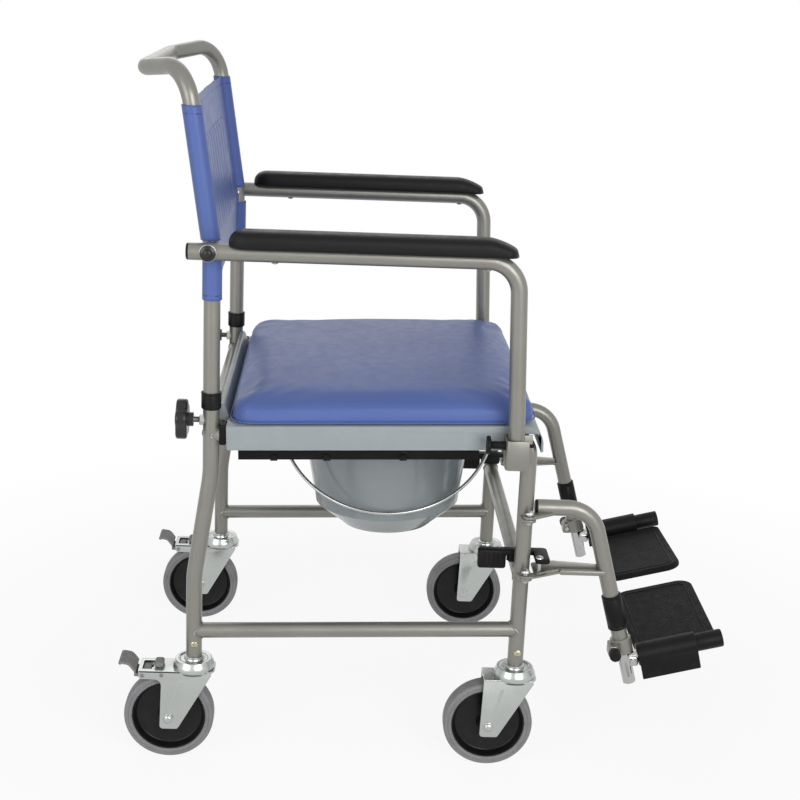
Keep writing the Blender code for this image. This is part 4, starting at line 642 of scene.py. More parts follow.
def hinge_pins(s):
    for top in EARS:
        s.turned(mm(0, 0, 3.4, 0, 4, 0.8, 4, 14.4, 6.2, 14.6, 6.4, 15.6, 5.8, 17.6, 4, 19.2, 1.6, 19.9, 0, 20),
                 (*HINGE, top - 0.0085), Z, 24)


def star_nut(s):
    s.turned(mm(0, 0, 7, 0, 7.5, 0.4, 7.5, 7, 6.8, 7.6, 0, 7.6),
             (SIDE_X, 0.1558, KNOB_Z), Y, 6)


def leg_rings(s):
    for y in (REAR_Y, FRONT_Y):
        s.turned(mm(10, 0, 12.6, 0, 13, 0.4, 12.8, 1.2, 11.6, 1.9, 10, 1.9),
                 (SIDE_X, y, FOOT_Z - 0.0002), Z, 48, True)


def seat_clip(s):
    low = rail_z(0.131) - 0.0122
    s.block((0.2226, 0.1275, low), (0.2474, 0.1366, low + 0.0285), 0.002, None, 3)


def socket_collar(s):
    s.turned(mm(11.2, 0, 12, 0, 13.3, 1.6, 13.3, 19.2, 13, 19.7, 13, 20.3, 13.6, 20.7, 13.6, 22.3, 13.2, 22.9,
                11.2, 22.9),
             (SIDE_X, POST_Y, 0.5098), Z, 48, True)


both(side_frame, "side_frame_*", PAINT, "frame", "tube_paint", ["frame_side_*"])
both(plunger_housing, "plunger_housing_*", BLACK, "frame", "black_plastic")
both(leg_screws, "leg_screws_*", GILT, "frame", "zinc")
# Painted shade for the leg screws' cross recesses.
both(screw_recess_shade, "screw_crosses_*", STEEL, "frame", "zinc")
both(hinge_pins, "hinge_pins_*", ZINC, "frame", "zinc")
both(star_nut, "star_nut_*", ZINC, "frame", "zinc")
both(leg_rings, "leg_rings_*", ZINC, "frame", "zinc")
both(seat_clip, "seat_clip_*", BLACK, "frame", "black_plastic")
both(socket_collar, "collar_*", BLACK, "frame", "black_plastic", ["socket_collar_*"])

for name, y, z in (("front", FRONT_Y, 0.281), ("rear", POST_Y, rail_z(POST_Y))):
    cross = Shape()
    cross.sweep([(-SIDE_X, y, z), (SIDE_X, y, z)], TUBE - 0.0001, edge=0)
    for sign in (1, -1):
        weld(cross, (sign * SIDE_X, y, z), (-sign, 0, 0), Z)
    cross.finish("cross_" + name, PAINT, "frame", "tube_paint", ["cross_tube_" + name])

# Star knobs


def star(s):
    lobes = []
    for i in range(120):
        angle = 2 * math.pi * i / 120
        reach = 0.0273 * (1 - 0.17 * (0.5 - 0.5 * math.cos(5 * angle)) ** 1.4)
        lobes.append((reach * math.sin(angle) + SIDE_X, reach * math.cos(angle) + KNOB_Z))
    s.plate(lobes, -0.0152, 0, across(0.1787), 0.0034, 5)
    s.turned(mm(0, 0, 8.8, 0, 9.4, 0.7, 9.5, 8, 0, 8), (SIDE_X, 0.1714, KNOB_Z), Y)
    s.turned(mm(0, 0, 10.5, 0, 10, 0.9, 0, 1.2), (SIDE_X, 0.1937, KNOB_Z), Y)


def star_stem(s):
    turns = [(0, 0), (0.0036, 0)]
    for i in range(9):
        turns += [(0.004, 0.0008 + i * 0.0013), (0.0036, 0.0014 + i * 0.0013)]
    s.turned(turns + [(0.0036, 0.013), (0, 0.013)], (SIDE_X, 0.1602, KNOB_Z), Y, 24)


both(star, "star_*", GLOSSY_BLACK, "star_*", "black_plastic", ["star_knob_*"])
both(star_stem, "star_stem_*", STEEL, "star_*", "zinc")

# Back: push bar, pivot bolts and sling
BAR_Z = 0.9542
half = [(SIDE_X, POST_Y, 0.5172), (SIDE_X, POST_Y, BEND_Z), (SIDE_X, post_y(BAR_Z), BAR_Z),
        (SIDE_X - 0.0922, post_y(BAR_Z) + 0.062, BAR_Z - 0.0108)]
bends = (0.15, 0.0476, 0.0348)
bar = Shape()
bar.sweep(rounded(half + [(-x, y, z) for x, y, z in reversed(half)], bends + bends[::-1], 4.0), TUBE)
for sign in (1, -1):
    bar.rod((sign * (SIDE_X + 0.004), PIVOT_Y, ARM_Z), (sign * 0.2586, PIVOT_Y, ARM_Z), 0.009)
    weld(bar, (sign * SIDE_X, PIVOT_Y, ARM_Z), (sign, 0, 0), Z, 0.009, TUBE, 0.0011)
bar.finish("back_bar", PAINT, "backrest", "tube_paint", ["push_bar"])


def pivot_washer(s):
    s.turned(mm(0, 0, 11, 0, 11.4, 0.4, 11.3, 1.2, 10.8, 1.6, 0, 1.8),
             (0.2812, PIVOT_Y, ARM_Z), X)
    s.turned(mm(0, 0, 5.2, 0, 5.5, 0.4, 5, 1.8, 3, 2.6, 0, 2.9),
             (0.225, PIVOT_Y, ARM_Z), -X, 32)


def pivot_cap(s):
    s.turned(mm(0, 0, 9.8, 0, 10.4, 0.6, 10.2, 1.4, 8.8, 2.2, 5.8, 2.7, 5.4, 4, 4.6, 5.2, 3, 5.7, 0, 5.9),
             (0.2825, PIVOT_Y, ARM_Z), X, 40)


both(pivot_washer, "pivot_washer_*", STEEL, "backrest", "zinc")
both(pivot_cap, "pivot_cap_*", GLOSSY_BLACK, "backrest", "black_plastic")


def sling():
    """One cut of vinyl: a sleeve round each post and the sagging panel between them."""
    ring, reach, overlap = 0.0122, 0.2229, math.radians(6)
    across_count, wrap_count, levels, hem = 120, 20, 54, 9
    line = [("left", math.pi + 2 * math.pi * i / wrap_count - overlap) for i in range(wrap_count + 1)]
    line += [("panel", 1 - 2 * i / across_count) for i in range(1, across_count)]
    line += [("right", 2 * math.pi * i / wrap_count + overlap) for i in range(wrap_count + 1)]
    part = bmesh.new()
    rows = []
    for j in range(levels + 1):
        z = SLING_LOW + (SLING_HIGH - SLING_LOW) * j / levels
        row = []
        for kind, value in line:
            if kind == "panel":
                x = value * reach
                lift = 0.0012 * math.sin(x * 62) + 0.0007 * math.sin(x * 151 + 1)
                sag = 0.005 * (1 - value * value)
                share = max(0.0, 1 - j / hem) * (lift - sag) + max(0.0, 1 - (levels - j) / hem) * lift * 0.3
                puff = 0.3 + 0.7 * abs(math.sin(math.pi * x / CHANNEL)) ** 0.6
                for depth, ease in ((PANEL_HALF - abs(x), 0.004), (z - PANEL_LOW, 0.008), (PANEL_HIGH - z, 0.008)):
                    puff *= min(1.0, max(0.0, depth / ease))
                row.append(part.verts.new((x, post_y(z) + sag - 0.0032 * puff, z + share)))
            else:
                x = (SIDE_X if kind == "left" else -SIDE_X) + ring * math.cos(value)
                row.append(part.verts.new((x, post_y(z) - ring * math.sin(value), z)))
        rows.append(row)
    for j in range(levels):
        z = SLING_LOW + (SLING_HIGH - SLING_LOW) * (j + 0.5) / levels
        for i in range(len(line) - 1):
            sleeved = line[i][0] != "panel" and line[i + 1][0] != "panel"
            if sleeved and 0.7113 < z < 0.7372:
                continue
            part.faces.new((rows[j][i], rows[j][i + 1], rows[j + 1][i + 1], rows[j + 1][i]))
    bmesh.ops.recalc_face_normals(part, faces=part.faces)
    area = sum(face.calc_area() for face in part.faces)
    piece = placed("back_sling", part)
    piece.data.transform(DATUM)
    piece.data.shade_smooth()
    piece.data.materials.append(SLING)
    thick = piece.modifiers.new("thick", "SOLIDIFY")
    thick.thickness = 0.0017
    thick.offset = 0.0
    bake(piece)
    settle(piece, "backrest", ["backrest_sling"])


def bake(piece):
    """The piece's modifiers applied to its mesh."""
    bpy.context.view_layer.update()
    graph = bpy.context.evaluated_depsgraph_get()
    made = bpy.data.meshes.new_from_object(piece.evaluated_get(graph))
    old = piece.data
    piece.modifiers.clear()
    piece.data = made
    bpy.data.meshes.remove(old)
    made.name = piece.name


sling()

# Arms


def arm(s):
    low = 0.4552
    path = [(ARM_X, 0.1755, ARM_Z), (ARM_X, ARM_FRONT, ARM_Z), (ARM_X, arm_y(low), low)]
    s.sweep(rounded(path, (0.042,), 4.0), TUBE)


def arm_cap(s):
    s.turned(mm(0, 0, 10.6, 0, 10.9, 0.4, 10.4, 2, 9, 3, 0, 3.4),
             (ARM_X, 0.1753, ARM_Z), Y, 40)


def pad_screws(s):
    for y in (0.066, -0.205):
        s.turned(mm(0, 0, 4.2, 0, 4.5, 0.4, 4, 1.6, 2, 2.4, 0, 2.6),
                 (ARM_X, y, ARM_Z - TUBE + 0.0004), -Z, 28)


def eased(away, reach, power, least):
    """The share of full size that a rounded end leaves at a distance from its tip."""
    if away >= reach:
        return 1.0
    return max(least, max(0.0, 1 - (1 - away / reach) ** power) ** (1 / power))


def arm_pad(s):
    rear, front, low, top, half_wide = 0.1246, -0.2433, 0.7327, 0.7568, 0.0213
    rear_end, front_end = 0.032, 0.04
    stations = [rear - rear_end * (1 - math.cos(math.pi / 2 * i / 18)) for i in range(19)]
    stations += [rear - rear_end - (rear - rear_end - front - front_end) * i / 40 for i in range(1, 40)]
    stations += [front + front_end * math.cos(math.pi / 2 * i / 24) for i in range(25)]
    part = bmesh.new()
    rings = []
    sides = 48
    for y in stations:
        back, ahead = rear - y, y - front
        wide = half_wide
        high = top - low
        wide *= eased(back, 0.03, 2.3, 0.06)
        high *= eased(back, 0.022, 2.3, 0.1)
        if ahead < 0.044:
            high *= 1 - 0.62 * (1 - ahead / 0.044) ** 1.7
        wide *= eased(ahead, 0.016, 2, 0.1)
        high *= eased(ahead, 0.004, 2, 0.25)
        floor = low if back > 0.022 else low + (1 - high / (top - low)) * 0.006
        ring = []
        for j in range(sides):
            angle = 2 * math.pi * j / sides
            c, v = math.cos(angle), math.sin(angle)
            power = 2 / 3.1 if v > 0 else 2 / 5.0
            across_by = math.copysign(abs(c) ** power, c)
            up_by = math.copysign(abs(v) ** (2 / 2.6 if v > 0 else 2 / 5.0), v)
            x = ARM_X + wide * across_by * (1 - 0.03 * max(0.0, up_by))
            split = floor + high * 0.42
            z = split + up_by * (high * 0.58 if up_by > 0 else high * 0.42)
            ring.append(part.verts.new((x, y, z)))
        rings.append(ring)
    skin(part, rings)
    bmesh.ops.recalc_face_normals(part, faces=part.faces)
    s.take(part)


def plunger(s):
    s.rod((ARM_X, -0.279, PLUNGER_Z), (ARM_X, -0.22, PLUNGER_Z), 0.0025, 20)
    s.turned(mm(0, 0, 8.5, 0, 9.5, 0.6, 11.7, 1.2, 12.4, 2.2, 12.4, 4.6, 11.7, 5.7, 8.5, 6, 6, 5.6, 0, 5.6),
             (ARM_X, -0.2222, PLUNGER_Z), Y, 40)


both(arm, "arm_bar_*", PAINT, "arm_*", "tube_paint", ["arm_tube_*"])
both(arm_cap, "arm_cap_*", BLACK, "arm_*", "black_plastic", ["arm_end_cap_*"])
both(pad_screws, "pad_screws_*", ZINC, "arm_*", "zinc")
both(arm_pad, "armrest_pad_*", PAD, "arm_*", "black_pad", ["arm_pad_*"], sharp=60)
both(plunger, "plunger_*", BLACK, "plunger_*", "black_plastic", ["arm_plunger_*"])

# Seat board
DECK = 0.015


def seat_board():
    s = Shape()
    shell = corners([(0.127, DECK), (-0.294, DECK), (-0.294, -0.0215), (-0.2905, -0.0215), (-0.2905, 0.011),
                     (0.127, 0.011)], (0.0005, 0.025, 0.001, 0.001, 0.0215, 0.0005), 5.0)
    s.plate(shell, -0.249, 0.249, upright(0), 0.0009)
    wall = corners([(0.127, -0.0175), (0.127, DECK), (-0.294, DECK), (-0.294, -0.021), (-0.29, -0.021),
                    (-0.29, 0.004), (-0.242, 0.004), (-0.242, -0.0175)],
                   (0.002, 0.002, 0.025, 0.001, 0.001, 0.004, 0.003, 0.002), 5.0)
    for sign in (1, -1):
        ends = sorted((sign * 0.2474, sign * 0.25))
        s.plate(wall, ends[0], ends[1], upright(0), 0.0012, 3)
        rim = [(sign * 0.249, 0.1262, -0.017), (sign * 0.249, -0.2412, -0.017)]
        s.sweep(rim, 0.0014, 12, 0.0008)
        for y in (0.09, 0.0, -0.16):
            s.block((min(sign * 0.23, sign * 0.2476), y - 0.001, -0.016),
                    (max(sign * 0.23, sign * 0.2476), y + 0.001, 0.0115), 0.0004)
    lip = corners(mm(122.5, 11.2, 139.5, 11.2, 139.5, 33.4, 131.5, 33.4, 126.2, 18.5),
                  (0, 0.002, 0.004, 0.0035, 0.004), 10.0)
    s.plate(lip, -0.21, 0.21, upright(0), 0.0022, 3)
    piece = s.finish("board", BOARD, "frame", "board_grey", ["seat_board"], datum=SEAT)
    bore = Shape()
    bore.turned(mm(0, 0, 115, 0, 115, 30, 0, 30), (0, PAN_Y, 0), Z, 96)
    bmesh.ops.transform(bore.whole, matrix=SEAT, verts=bore.whole.verts)
    cutter = placed("cutter", bore.whole)
    cut = piece.modifiers.new("hole", "BOOLEAN")
    cut.operation = "DIFFERENCE"
    cut.solver = "EXACT"
    cut.object = cutter
    bake(piece)
    bpy.data.objects.remove(cutter, do_unlink=True)
    piece.data.set_sharp_from_angle(angle=math.radians(38))


seat_board()

# Seat cushion: its corners, and the frames its cloth is pressed out for
PAD_CORNERS = (0.037, 0.037, 0.033, 0.033)
FRAMES = 20


def seat_cushion():
    half_x, front, rear, low = 0.2455, -0.2855, 0.123, DECK + 0.0006
    middle = (front + rear) / 2
    side_line = mm(6, 0, 1.6, 0.6, 0.8, 3, 1.2, 4.5, 0.8, 8, 0.6, 12, 1, 16.5, 2.4, 21, 5, 25, 8.8, 28.2, 13.6, 30.4,
                   20, 31.8, 29, 32.6)
    part = bmesh.new()
    rings = []
    for inset, rise in side_line:
        x = half_x - inset
        outline = corners(oblong(-x, front + inset, x, rear - inset), [radius - inset for radius in PAD_CORNERS], 6.0)
        rings.append([part.verts.new((px, py, low + rise)) for px, py in outline])
    high = low + side_line[-1][1]
    for one, two in zip(rings, rings[1:]):
        for i in range(len(one)):
            part.faces.new((one[i - 1], one[i], two[i], two[i - 1]))
    part.faces.new(rings[0])
    part.faces.new(rings[-1])
    bmesh.ops.recalc_face_normals(part, faces=part.faces)
    bmesh.ops.triangulate(part, faces=part.faces)
    piece = placed("cushion_pad", part)
    remesh = piece.modifiers.new("even", "REMESH")
    remesh.mode = "VOXEL"
    remesh.voxel_size = 0.0055
    bake(piece)
    start = [vert.co.copy() for vert in piece.data.vertices]
    pins = piece.vertex_groups.new(name="pins")
    for i, co in enumerate(start):
        if co.z < low + 0.003:
            pins.add([i], 1.0, "REPLACE")
    cloth = piece.modifiers.new("cloth", "CLOTH")
    settings = cloth.settings
    settings.quality = 6
    settings.use_pressure = True
    settings.uniform_pressure_force = 4.0
    settings.effector_weights.gravity = 0.0
    settings.vertex_group_mass = "pins"
    settings.tension_stiffness = settings.compression_stiffness = 30
    settings.bending_stiffness = 2.0
    cloth.collision_settings.use_self_collision = False
    cloth.point_cache.frame_start, cloth.point_cache.frame_end = 1, FRAMES
    for number in range(1, FRAMES + 1):
        scene.frame_set(number)
    bake(piece)
    scene.frame_set(1)
    caps = (0.0018, 0.0018, 0.004)
    for vert, at in zip(piece.data.vertices, start):
        move = vert.co - at
        for axis in range(3):
            move[axis] = caps[axis] * math.tanh(move[axis] / (2 * caps[axis]))
        u = min(1.0, abs(at.x) / half_x)
        v = min(1.0, abs(at.y - middle) / (rear - middle))
        level = max(0.0, (at.z - low) / (high - low)) ** 2
        vert.co = at + move + Vector((0, 0, 0.0078 * (1 - u**2.6) * (1 - v**3.4) * level))
    finer = piece.modifiers.new("finer", "SUBSURF")
    finer.levels = 1
    finer.render_levels = 1
    bake(piece)
    centres = [(sx * (half_x - 0.034), y) for sx in (1, -1) for y in (front + 0.034, rear - 0.03)]
    for vert in piece.data.vertices:
        for x, y in centres:
            out = Vector(((vert.co.x - x) * math.copysign(1, x), (vert.co.y - y) * (-1 if y < middle else 1)))
            if out.x < -0.02 or out.y < -0.02:
                continue
            angle = math.atan2(out.y, out.x)
            spread = math.exp(-(((angle - math.pi / 4) / 0.55) ** 2))
            height = (vert.co.z - low) / (high - low)
            band = math.exp(-(((height - 0.45) / 0.42) ** 2)) * min(1.0, out.length / 0.03)
            fold = (0.5 + 0.5 * math.cos(angle * 34 + 3 * height + x * 40)) ** 2
            flat = Vector((math.copysign(out.x, x), -out.y if y < middle else out.y, 0)).normalized()
            vert.co -= flat * 0.0011 * fold * spread * band
        ripple = noise.noise(Vector((vert.co.x * 11, vert.co.y * 11, 3.1)))
        if vert.co.z > low + 0.015:
            vert.co.z += 0.0009 * ripple
    piece.data.transform(SEAT)
    piece.data.shade_smooth()
    piece.data.materials.append(VINYL)
    settle(piece, "cushion", ["seat_cushion"])
    return half_x, front, rear


half_x, front, rear = seat_cushion()
welt = Shape()
proud = 0.0003
outline = corners(oblong(-half_x - proud, front - proud, half_x + proud, rear + proud), PAD_CORNERS, 5.0)
welt.sweep([(x, y, DECK + 0.0034) for x, y in outline], 0.0012, 12, closed=True)
welt.finish("cushion_welt", VINYL, "cushion", "blue_vinyl", datum=SEAT)


def guide_clips(s):
    for y in (0.068, -0.005, -0.11):
        s.turned(mm(0, 0, 4.2, 0, 4.6, 0.6, 4.6, 3, 3.8, 4, 0, 4.2),
                 (0.179, y, -0.05), X, 24)
        s.block((0.1788, y - 0.005, -0.056), (0.1812, y + 0.005, -0.04), 0.0009)


both(guide_clips, "guide_clips_*", BLACK, "frame", "black_plastic", datum=SEAT)

# Pan and bail
RIM_LOW = -0.0517
pan = Shape()
profile = mm(0, -152.5, 60, -152.5, 66.8, -150.5, 70.5, -146.5, 104.5, -121, 116.5, -43, 121, -22, 127.5, -0.8,
             130.2, 2.6, 132.5, 3.3, 142, 3.1, 149, 2.8, 150, 2, 150, 0.6, 149, 0, 134.5, -0.2, 130.5, -1.4,
             123.6, -22, 119, -43, 107, -121, 73.5, -149, 69, -153.5, 62, -155, 0, -155)
pan.turned([(r, RIM_LOW + z) for r, z in profile], (0, PAN_Y, 0), Z, 96)
pivot = RIM_LOW + 0.0015
for sign in (1, -1):
    pan.rod((0, PAN_Y + sign * 0.132, pivot), (0, PAN_Y + sign * 0.1606, pivot), 0.003, 20)
pan.finish("pan_bowl", PAN, "pan_body", "pan_grey", ["pan"], datum=SEAT)
rest = math.radians(46.5)
wire = Shape()
path = []
for i in range(61):
    angle = math.pi * i / 60
    fall = 0.157 * math.sin(angle)
    path.append((-fall * math.sin(rest), PAN_Y + 0.157 * math.cos(angle), pivot - fall * math.cos(rest)))
wire.sweep(path, 0.0025, 16)
for sign in (1, -1):
    middle = PAN_Y + sign * 0.157
    wire.turned(mm(3.3, -2, 5, -2, 5.5, -1.2, 5.5, 1.2, 5, 2, 3.3, 2), (0, middle, pivot), Y, 32, True)
wire.finish("bail_wire", ZINC, "bail", "zinc", ["pan_bail"], datum=SEAT)

# Footrest hangers
SLOPE = math.radians(15.6)
KNEE = Vector((SIDE_X, -0.3692, HANGER_Z))
DOWN = Vector((0, -math.sin(SLOPE), -math.cos(SLOPE)))
ON_TUBE = Matrix.Translation(KNEE) @ Z.rotation_difference(DOWN).to_matrix().to_4x4()


def on_tube(distance):
    return KNEE + DOWN * distance


def hanger(s):
    s.sweep(rounded([(SIDE_X, -0.2937, HANGER_Z), KNEE, on_tube(0.2172)], (0.045,), 3.0), TUBE)
    s.plate(link(HINGE, 0.0085, (SIDE_X, -0.316), 0.0082), 0.3763, 0.3803, edge=0.0007)
    pressing = corners(
        mm(266.8, -272, 266.8, -290, 245, -330, 242.5, -394, 228, -394, 211, -325, 211, -293, 249.2, -293,
           249.2, -272),
        (0.0084, 0.0084, 0.01, 0.0005, 0.0005, 0.014, 0.006, 0.001, 0.0084),
        9.0,
    )
    s.plate(pressing, 0.2923, 0.2948, edge=0.0006)
    s.sweep([(0.252, -0.3, 0.2942), (0.2372, -0.328, 0.2944), (0.2352, -0.388, 0.2944)], 0.0026, 16, 0.001)
    s.block((0.2392, -0.3925, 0.2902), (0.2462, -0.329, 0.2982), 0.0028, None, 4)
    web = mm(-294.5, 293.5, -294.5, 300.5, -320, 306, -390, 302, -390, 293.5)
    s.plate(corners(web, (0, 0.004, 0.012, 0.001, 0)), -0.0012, 0.0012, upright(0.2312), 0.0008)
    weld(s, (SIDE_X, -0.3943, 0.2943), (0, 1, 0), (0, 0.27, 0.96), 0.0045, TUBE, 0.0012)
    s.sweep([on_tube(0.195), on_tube(0.2175)], 0.0145, 40, 0.0012)
    s.block((0.2262, -0.4172, 0.1714), (0.2494, -0.406, 0.1877), 0.0018, None, 3)


def lever_screw(s):
    s.turned(mm(0, 0, 5.2, 0, 5.5, 0.4, 5, 1.8, 3.2, 3, 0, 3.4),
             (*LEVER_PIN, 0.3144), Z, 32)
    s.rod((*LEVER_PIN, 0.2945), (*LEVER_PIN, 0.3146), 0.0036, 20)


def plug(s):
    s.turned(mm(0, 0, 10.4, 0, 10.7, 0.4, 10.7, 1.6, 9.4, 2.8, 0, 3),
             (SIDE_X, -0.2935, HANGER_Z), Y, 40)


def sleeve(s):
    rings = mm(11.1, 129.2, 12.6, 129.2, 13.5, 130.2)
    for at in (0.1338, 0.1752):
        rings += [(0.0135, at - 0.0008), (0.013, at), (0.0135, at + 0.0008)]
    rings += mm(13.5, 178.8, 12.6, 179.8, 11.1, 179.8)
    s.turned(rings, KNEE, DOWN, 48, True)


def clamp(s):
    outline = []
    for i in range(96):
        angle = 2 * math.pi * i / 96
        reach = 0.008 * (1 - 0.055 * (0.5 - 0.5 * math.cos(12 * angle)))
        outline.append((CLAMP[0] + reach * math.cos(angle), CLAMP[1] + reach * math.sin(angle)))
    s.plate(outline, 0.2512, 0.2648, upright(0), 0.0012, 3)


def clamp_ring(s):
    s.turned(mm(0, 0, 6.8, 0, 7.2, 0.4, 7.2, 1.6, 0, 1.8),
             (0.2497, *CLAMP), X, 32)
    s.rod((0.2243, *CLAMP), (0.25, *CLAMP), 0.003, 20)


def lever(s):
    strip = corners(
        mm(205.5, -250, 205.5, -314.5, 252, -314.5, 252, -294.75, 220.5, -294.75, 220.5, -250),
        (0, 0.006, 0.005, 0.005, 0.002, 0),
    )
    s.plate(strip, 0.3078, 0.3146, edge=0.0016, segments=3)
    grip = mm(205.7, -219, 205.7, -255, 220.3, -258.8, 220.3, -219)
    s.plate(grip, 0.2866, 0.3148, edge=0.004, segments=4)
    s.block((0.2057, -0.2895, 0.2962), (0.2203, -0.26, 0.3148), 0.004, None, 4)
    for i in range(8):
        y = -0.228 - 0.0062 * i
        for x in (0.2056, 0.2204):
            s.sweep([(x, y, 0.2916 if i < 4 else 0.3), (x, y, 0.31)], 0.0009, 10, 0.0006)


def extension(s):
    s.sweep([on_tube(0.1), on_tube(0.2648)], 0.009, 40)
    s.block((0.2262, -0.449, 0.156), (0.2438, -0.433, 0.1705), 0.0026, None, 4)
    s.rod(SPINDLE - FOOT_AHEAD * 0.014, SPINDLE + FOOT_AHEAD * 0.002, 0.008, 32, 0.001)
    s.turned(mm(0, 0, 4.8, 0, 5, 0.4, 4.4, 1.6, 2, 2.4, 0, 2.5),
             (0.2436, -0.4412, 0.1632), X, 28)


# Painted shade: a thin dark steel sheet on the extension tube's outer face stands in for the shade inside its slot.
def extension_slot_shade(s):
    outline = link((0.233, 0), 0.0018, (0.252, 0), 0.0018, 10)
    facing_out = Matrix(((0, 0, 1, 0), (0, 1, 0, 0), (1, 0, 0, 0), (0, 0, 0, 1)))
    s.plate(outline, 0.00875, 0.0092, ON_TUBE @ facing_out, 0.0001)


def spindle(s):
    s.turned(mm(0, 0, 11.7, 0, 12.4, 0.7, 12.4, 87, 12.5, 88, 12.5, 118.3, 11.5, 119.8, 0, 120.3),
             SPINDLE, FOOT_AHEAD)


both(hanger, "hanger_*", PAINT, "hanger_*", "tube_paint", ["footrest_hanger_*"])
both(lever_screw, "lever_screw_*", ZINC, "hanger_*", "zinc")
both(plug, "hanger_stop_*", BLACK, "hanger_*", "black_plastic", ["hanger_plug_*"])
both(sleeve, "sleeve_*", BLACK, "hanger_*", "black_plastic", ["hanger_sleeve_*"])
both(clamp, "clamp_*", BLACK, "clamp_*", "black_plastic", ["clamp_knob_*"])
both(clamp_ring, "clamp_ring_*", ZINC, "clamp_*", "zinc")
both(lever, "lever_*", BLACK, "lever_*", "black_plastic", ["release_lever_*"])
both(extension, "extension_*", CHROME, "extension_*", "chrome", ["footrest_extension_*"])
# Painted shade for the extension's slot.
both(extension_slot_shade, "extension_slot_*", STEEL, "extension_*", "chrome")
both(spindle, "spindle_*", BLACK, "extension_*", "black_plastic")

# Footplates
OUT = 0.2217
WIDE = 0.1937
TREAD_AT = Matrix.Translation((OUT, 0, -0.0062)) @ Matrix.Rotation(math.radians(3), 4, "Y")


def tread_outline(inset):
    wide, near, far = WIDE - 2 * inset, -0.0015 - inset, -0.1225 + inset
    radii = (0.02 - inset * 0.8, 0, 0.01 - inset * 0.4, 0.02 - inset * 0.8)
    ring = corners(oblong(-wide - inset, near, -inset, far), radii)
    bowed = []
    for x, y in ring:
        share = max(-1.0, min(1.0, (x + WIDE / 2) / (WIDE / 2)))
        if y < far + 0.022:
            y += 0.007 * share * share
        bowed.append((x, y))
    return bowed


def footplate(s):
    s.plate(tread_outline(0.0), -0.0092, -0.0009, TREAD_AT, 0.0018, 3)
    s.plate(tread_outline(0.003), -0.0012, -0.0004, TREAD_AT, 0.0003, 1)


def foot_barrel(s):
    s.turned(mm(12.6, 0.3, 15, 0.3, 16, 1.3, 16, 82, 15.2, 83, 12.6, 83),
             (SIDE_X, 0, 0), -Y, 48, True)
    s.block((0.2155, -0.0826, -0.0146), (SIDE_X, -0.0019, -0.0064), 0.0012)
    s.block((0.247, -0.0826, -0.032), (0.2508, -0.001, 0.0), 0.0012)
    s.block((0.218, -0.0826, -0.019), (0.221, -0.005, -0.01), 0.0008)


def tread_border(s):
    ring = [TREAD_AT @ Vector((x, y, -0.0004)) for x, y in tread_outline(0.012)]
    s.sweep(ring, 0.001, 10, closed=True)
    for x in (-0.045, -0.095, -0.145):
        rib = [TREAD_AT @ Vector((x, -0.012, -0.0095)), TREAD_AT @ Vector((x, -0.108, -0.0095))]
        s.sweep(rib, 0.0016, 10, 0.001)


both(footplate, "footrest_plate_*", TREAD, "plate_*", "black_plastic", ["footplate_*"], datum=FOOT)
both(foot_barrel, "footrest_barrel_*", BLACK, "plate_*", "black_plastic", datum=FOOT)
both(tread_border, "footrest_border_*", BLACK, "plate_*", "black_plastic", datum=FOOT)

# Castors
DOME = mm(0, 0, 27.8, 0, 28.7, 1.2, 28.9, 3.4, 28.6, 6.2, 27.7, 9, 26.4, 11.2, 25.7, 12.6, 25.4, 14.2, 24.7, 14.9,
          23.4, 15, 19.6, 14.7, 18.8, 14.2, 18.2, 13.3, 14.2, 13, 13.4, 13.3, 13.1, 14.1, 12.8, 15.6, 11.9, 16.4,
          11.3, 16.7, 0, 16.9)
TYRE_HALF_PROFILE = mm(51.1, 11.6, 51.9, 12.6, 53.2, 13.4, 55.2, 13.5, 56.1, 12.6, 56.7, 12.6, 57.3, 13.3) + [
    (0.0575 + 0.005 * math.sin(math.radians(15 * i)), 0.0085 + 0.005 * math.cos(math.radians(15 * i)))
    for i in range(1, 7)
] + [(0.06262, 0.0045)]
HUB_HALF_PROFILE = mm(50.8, 10.4, 50.3, 11.3, 49.4, 11.4, 48.8, 10.6, 46.2, 3, 45.4, 1.6, 44, 1, 16, 1.2, 14.2, 3,
                      13.4, 7, 13, 9.8, 12.8, 15.8, 12.2, 16.4, 4.3, 16.4)


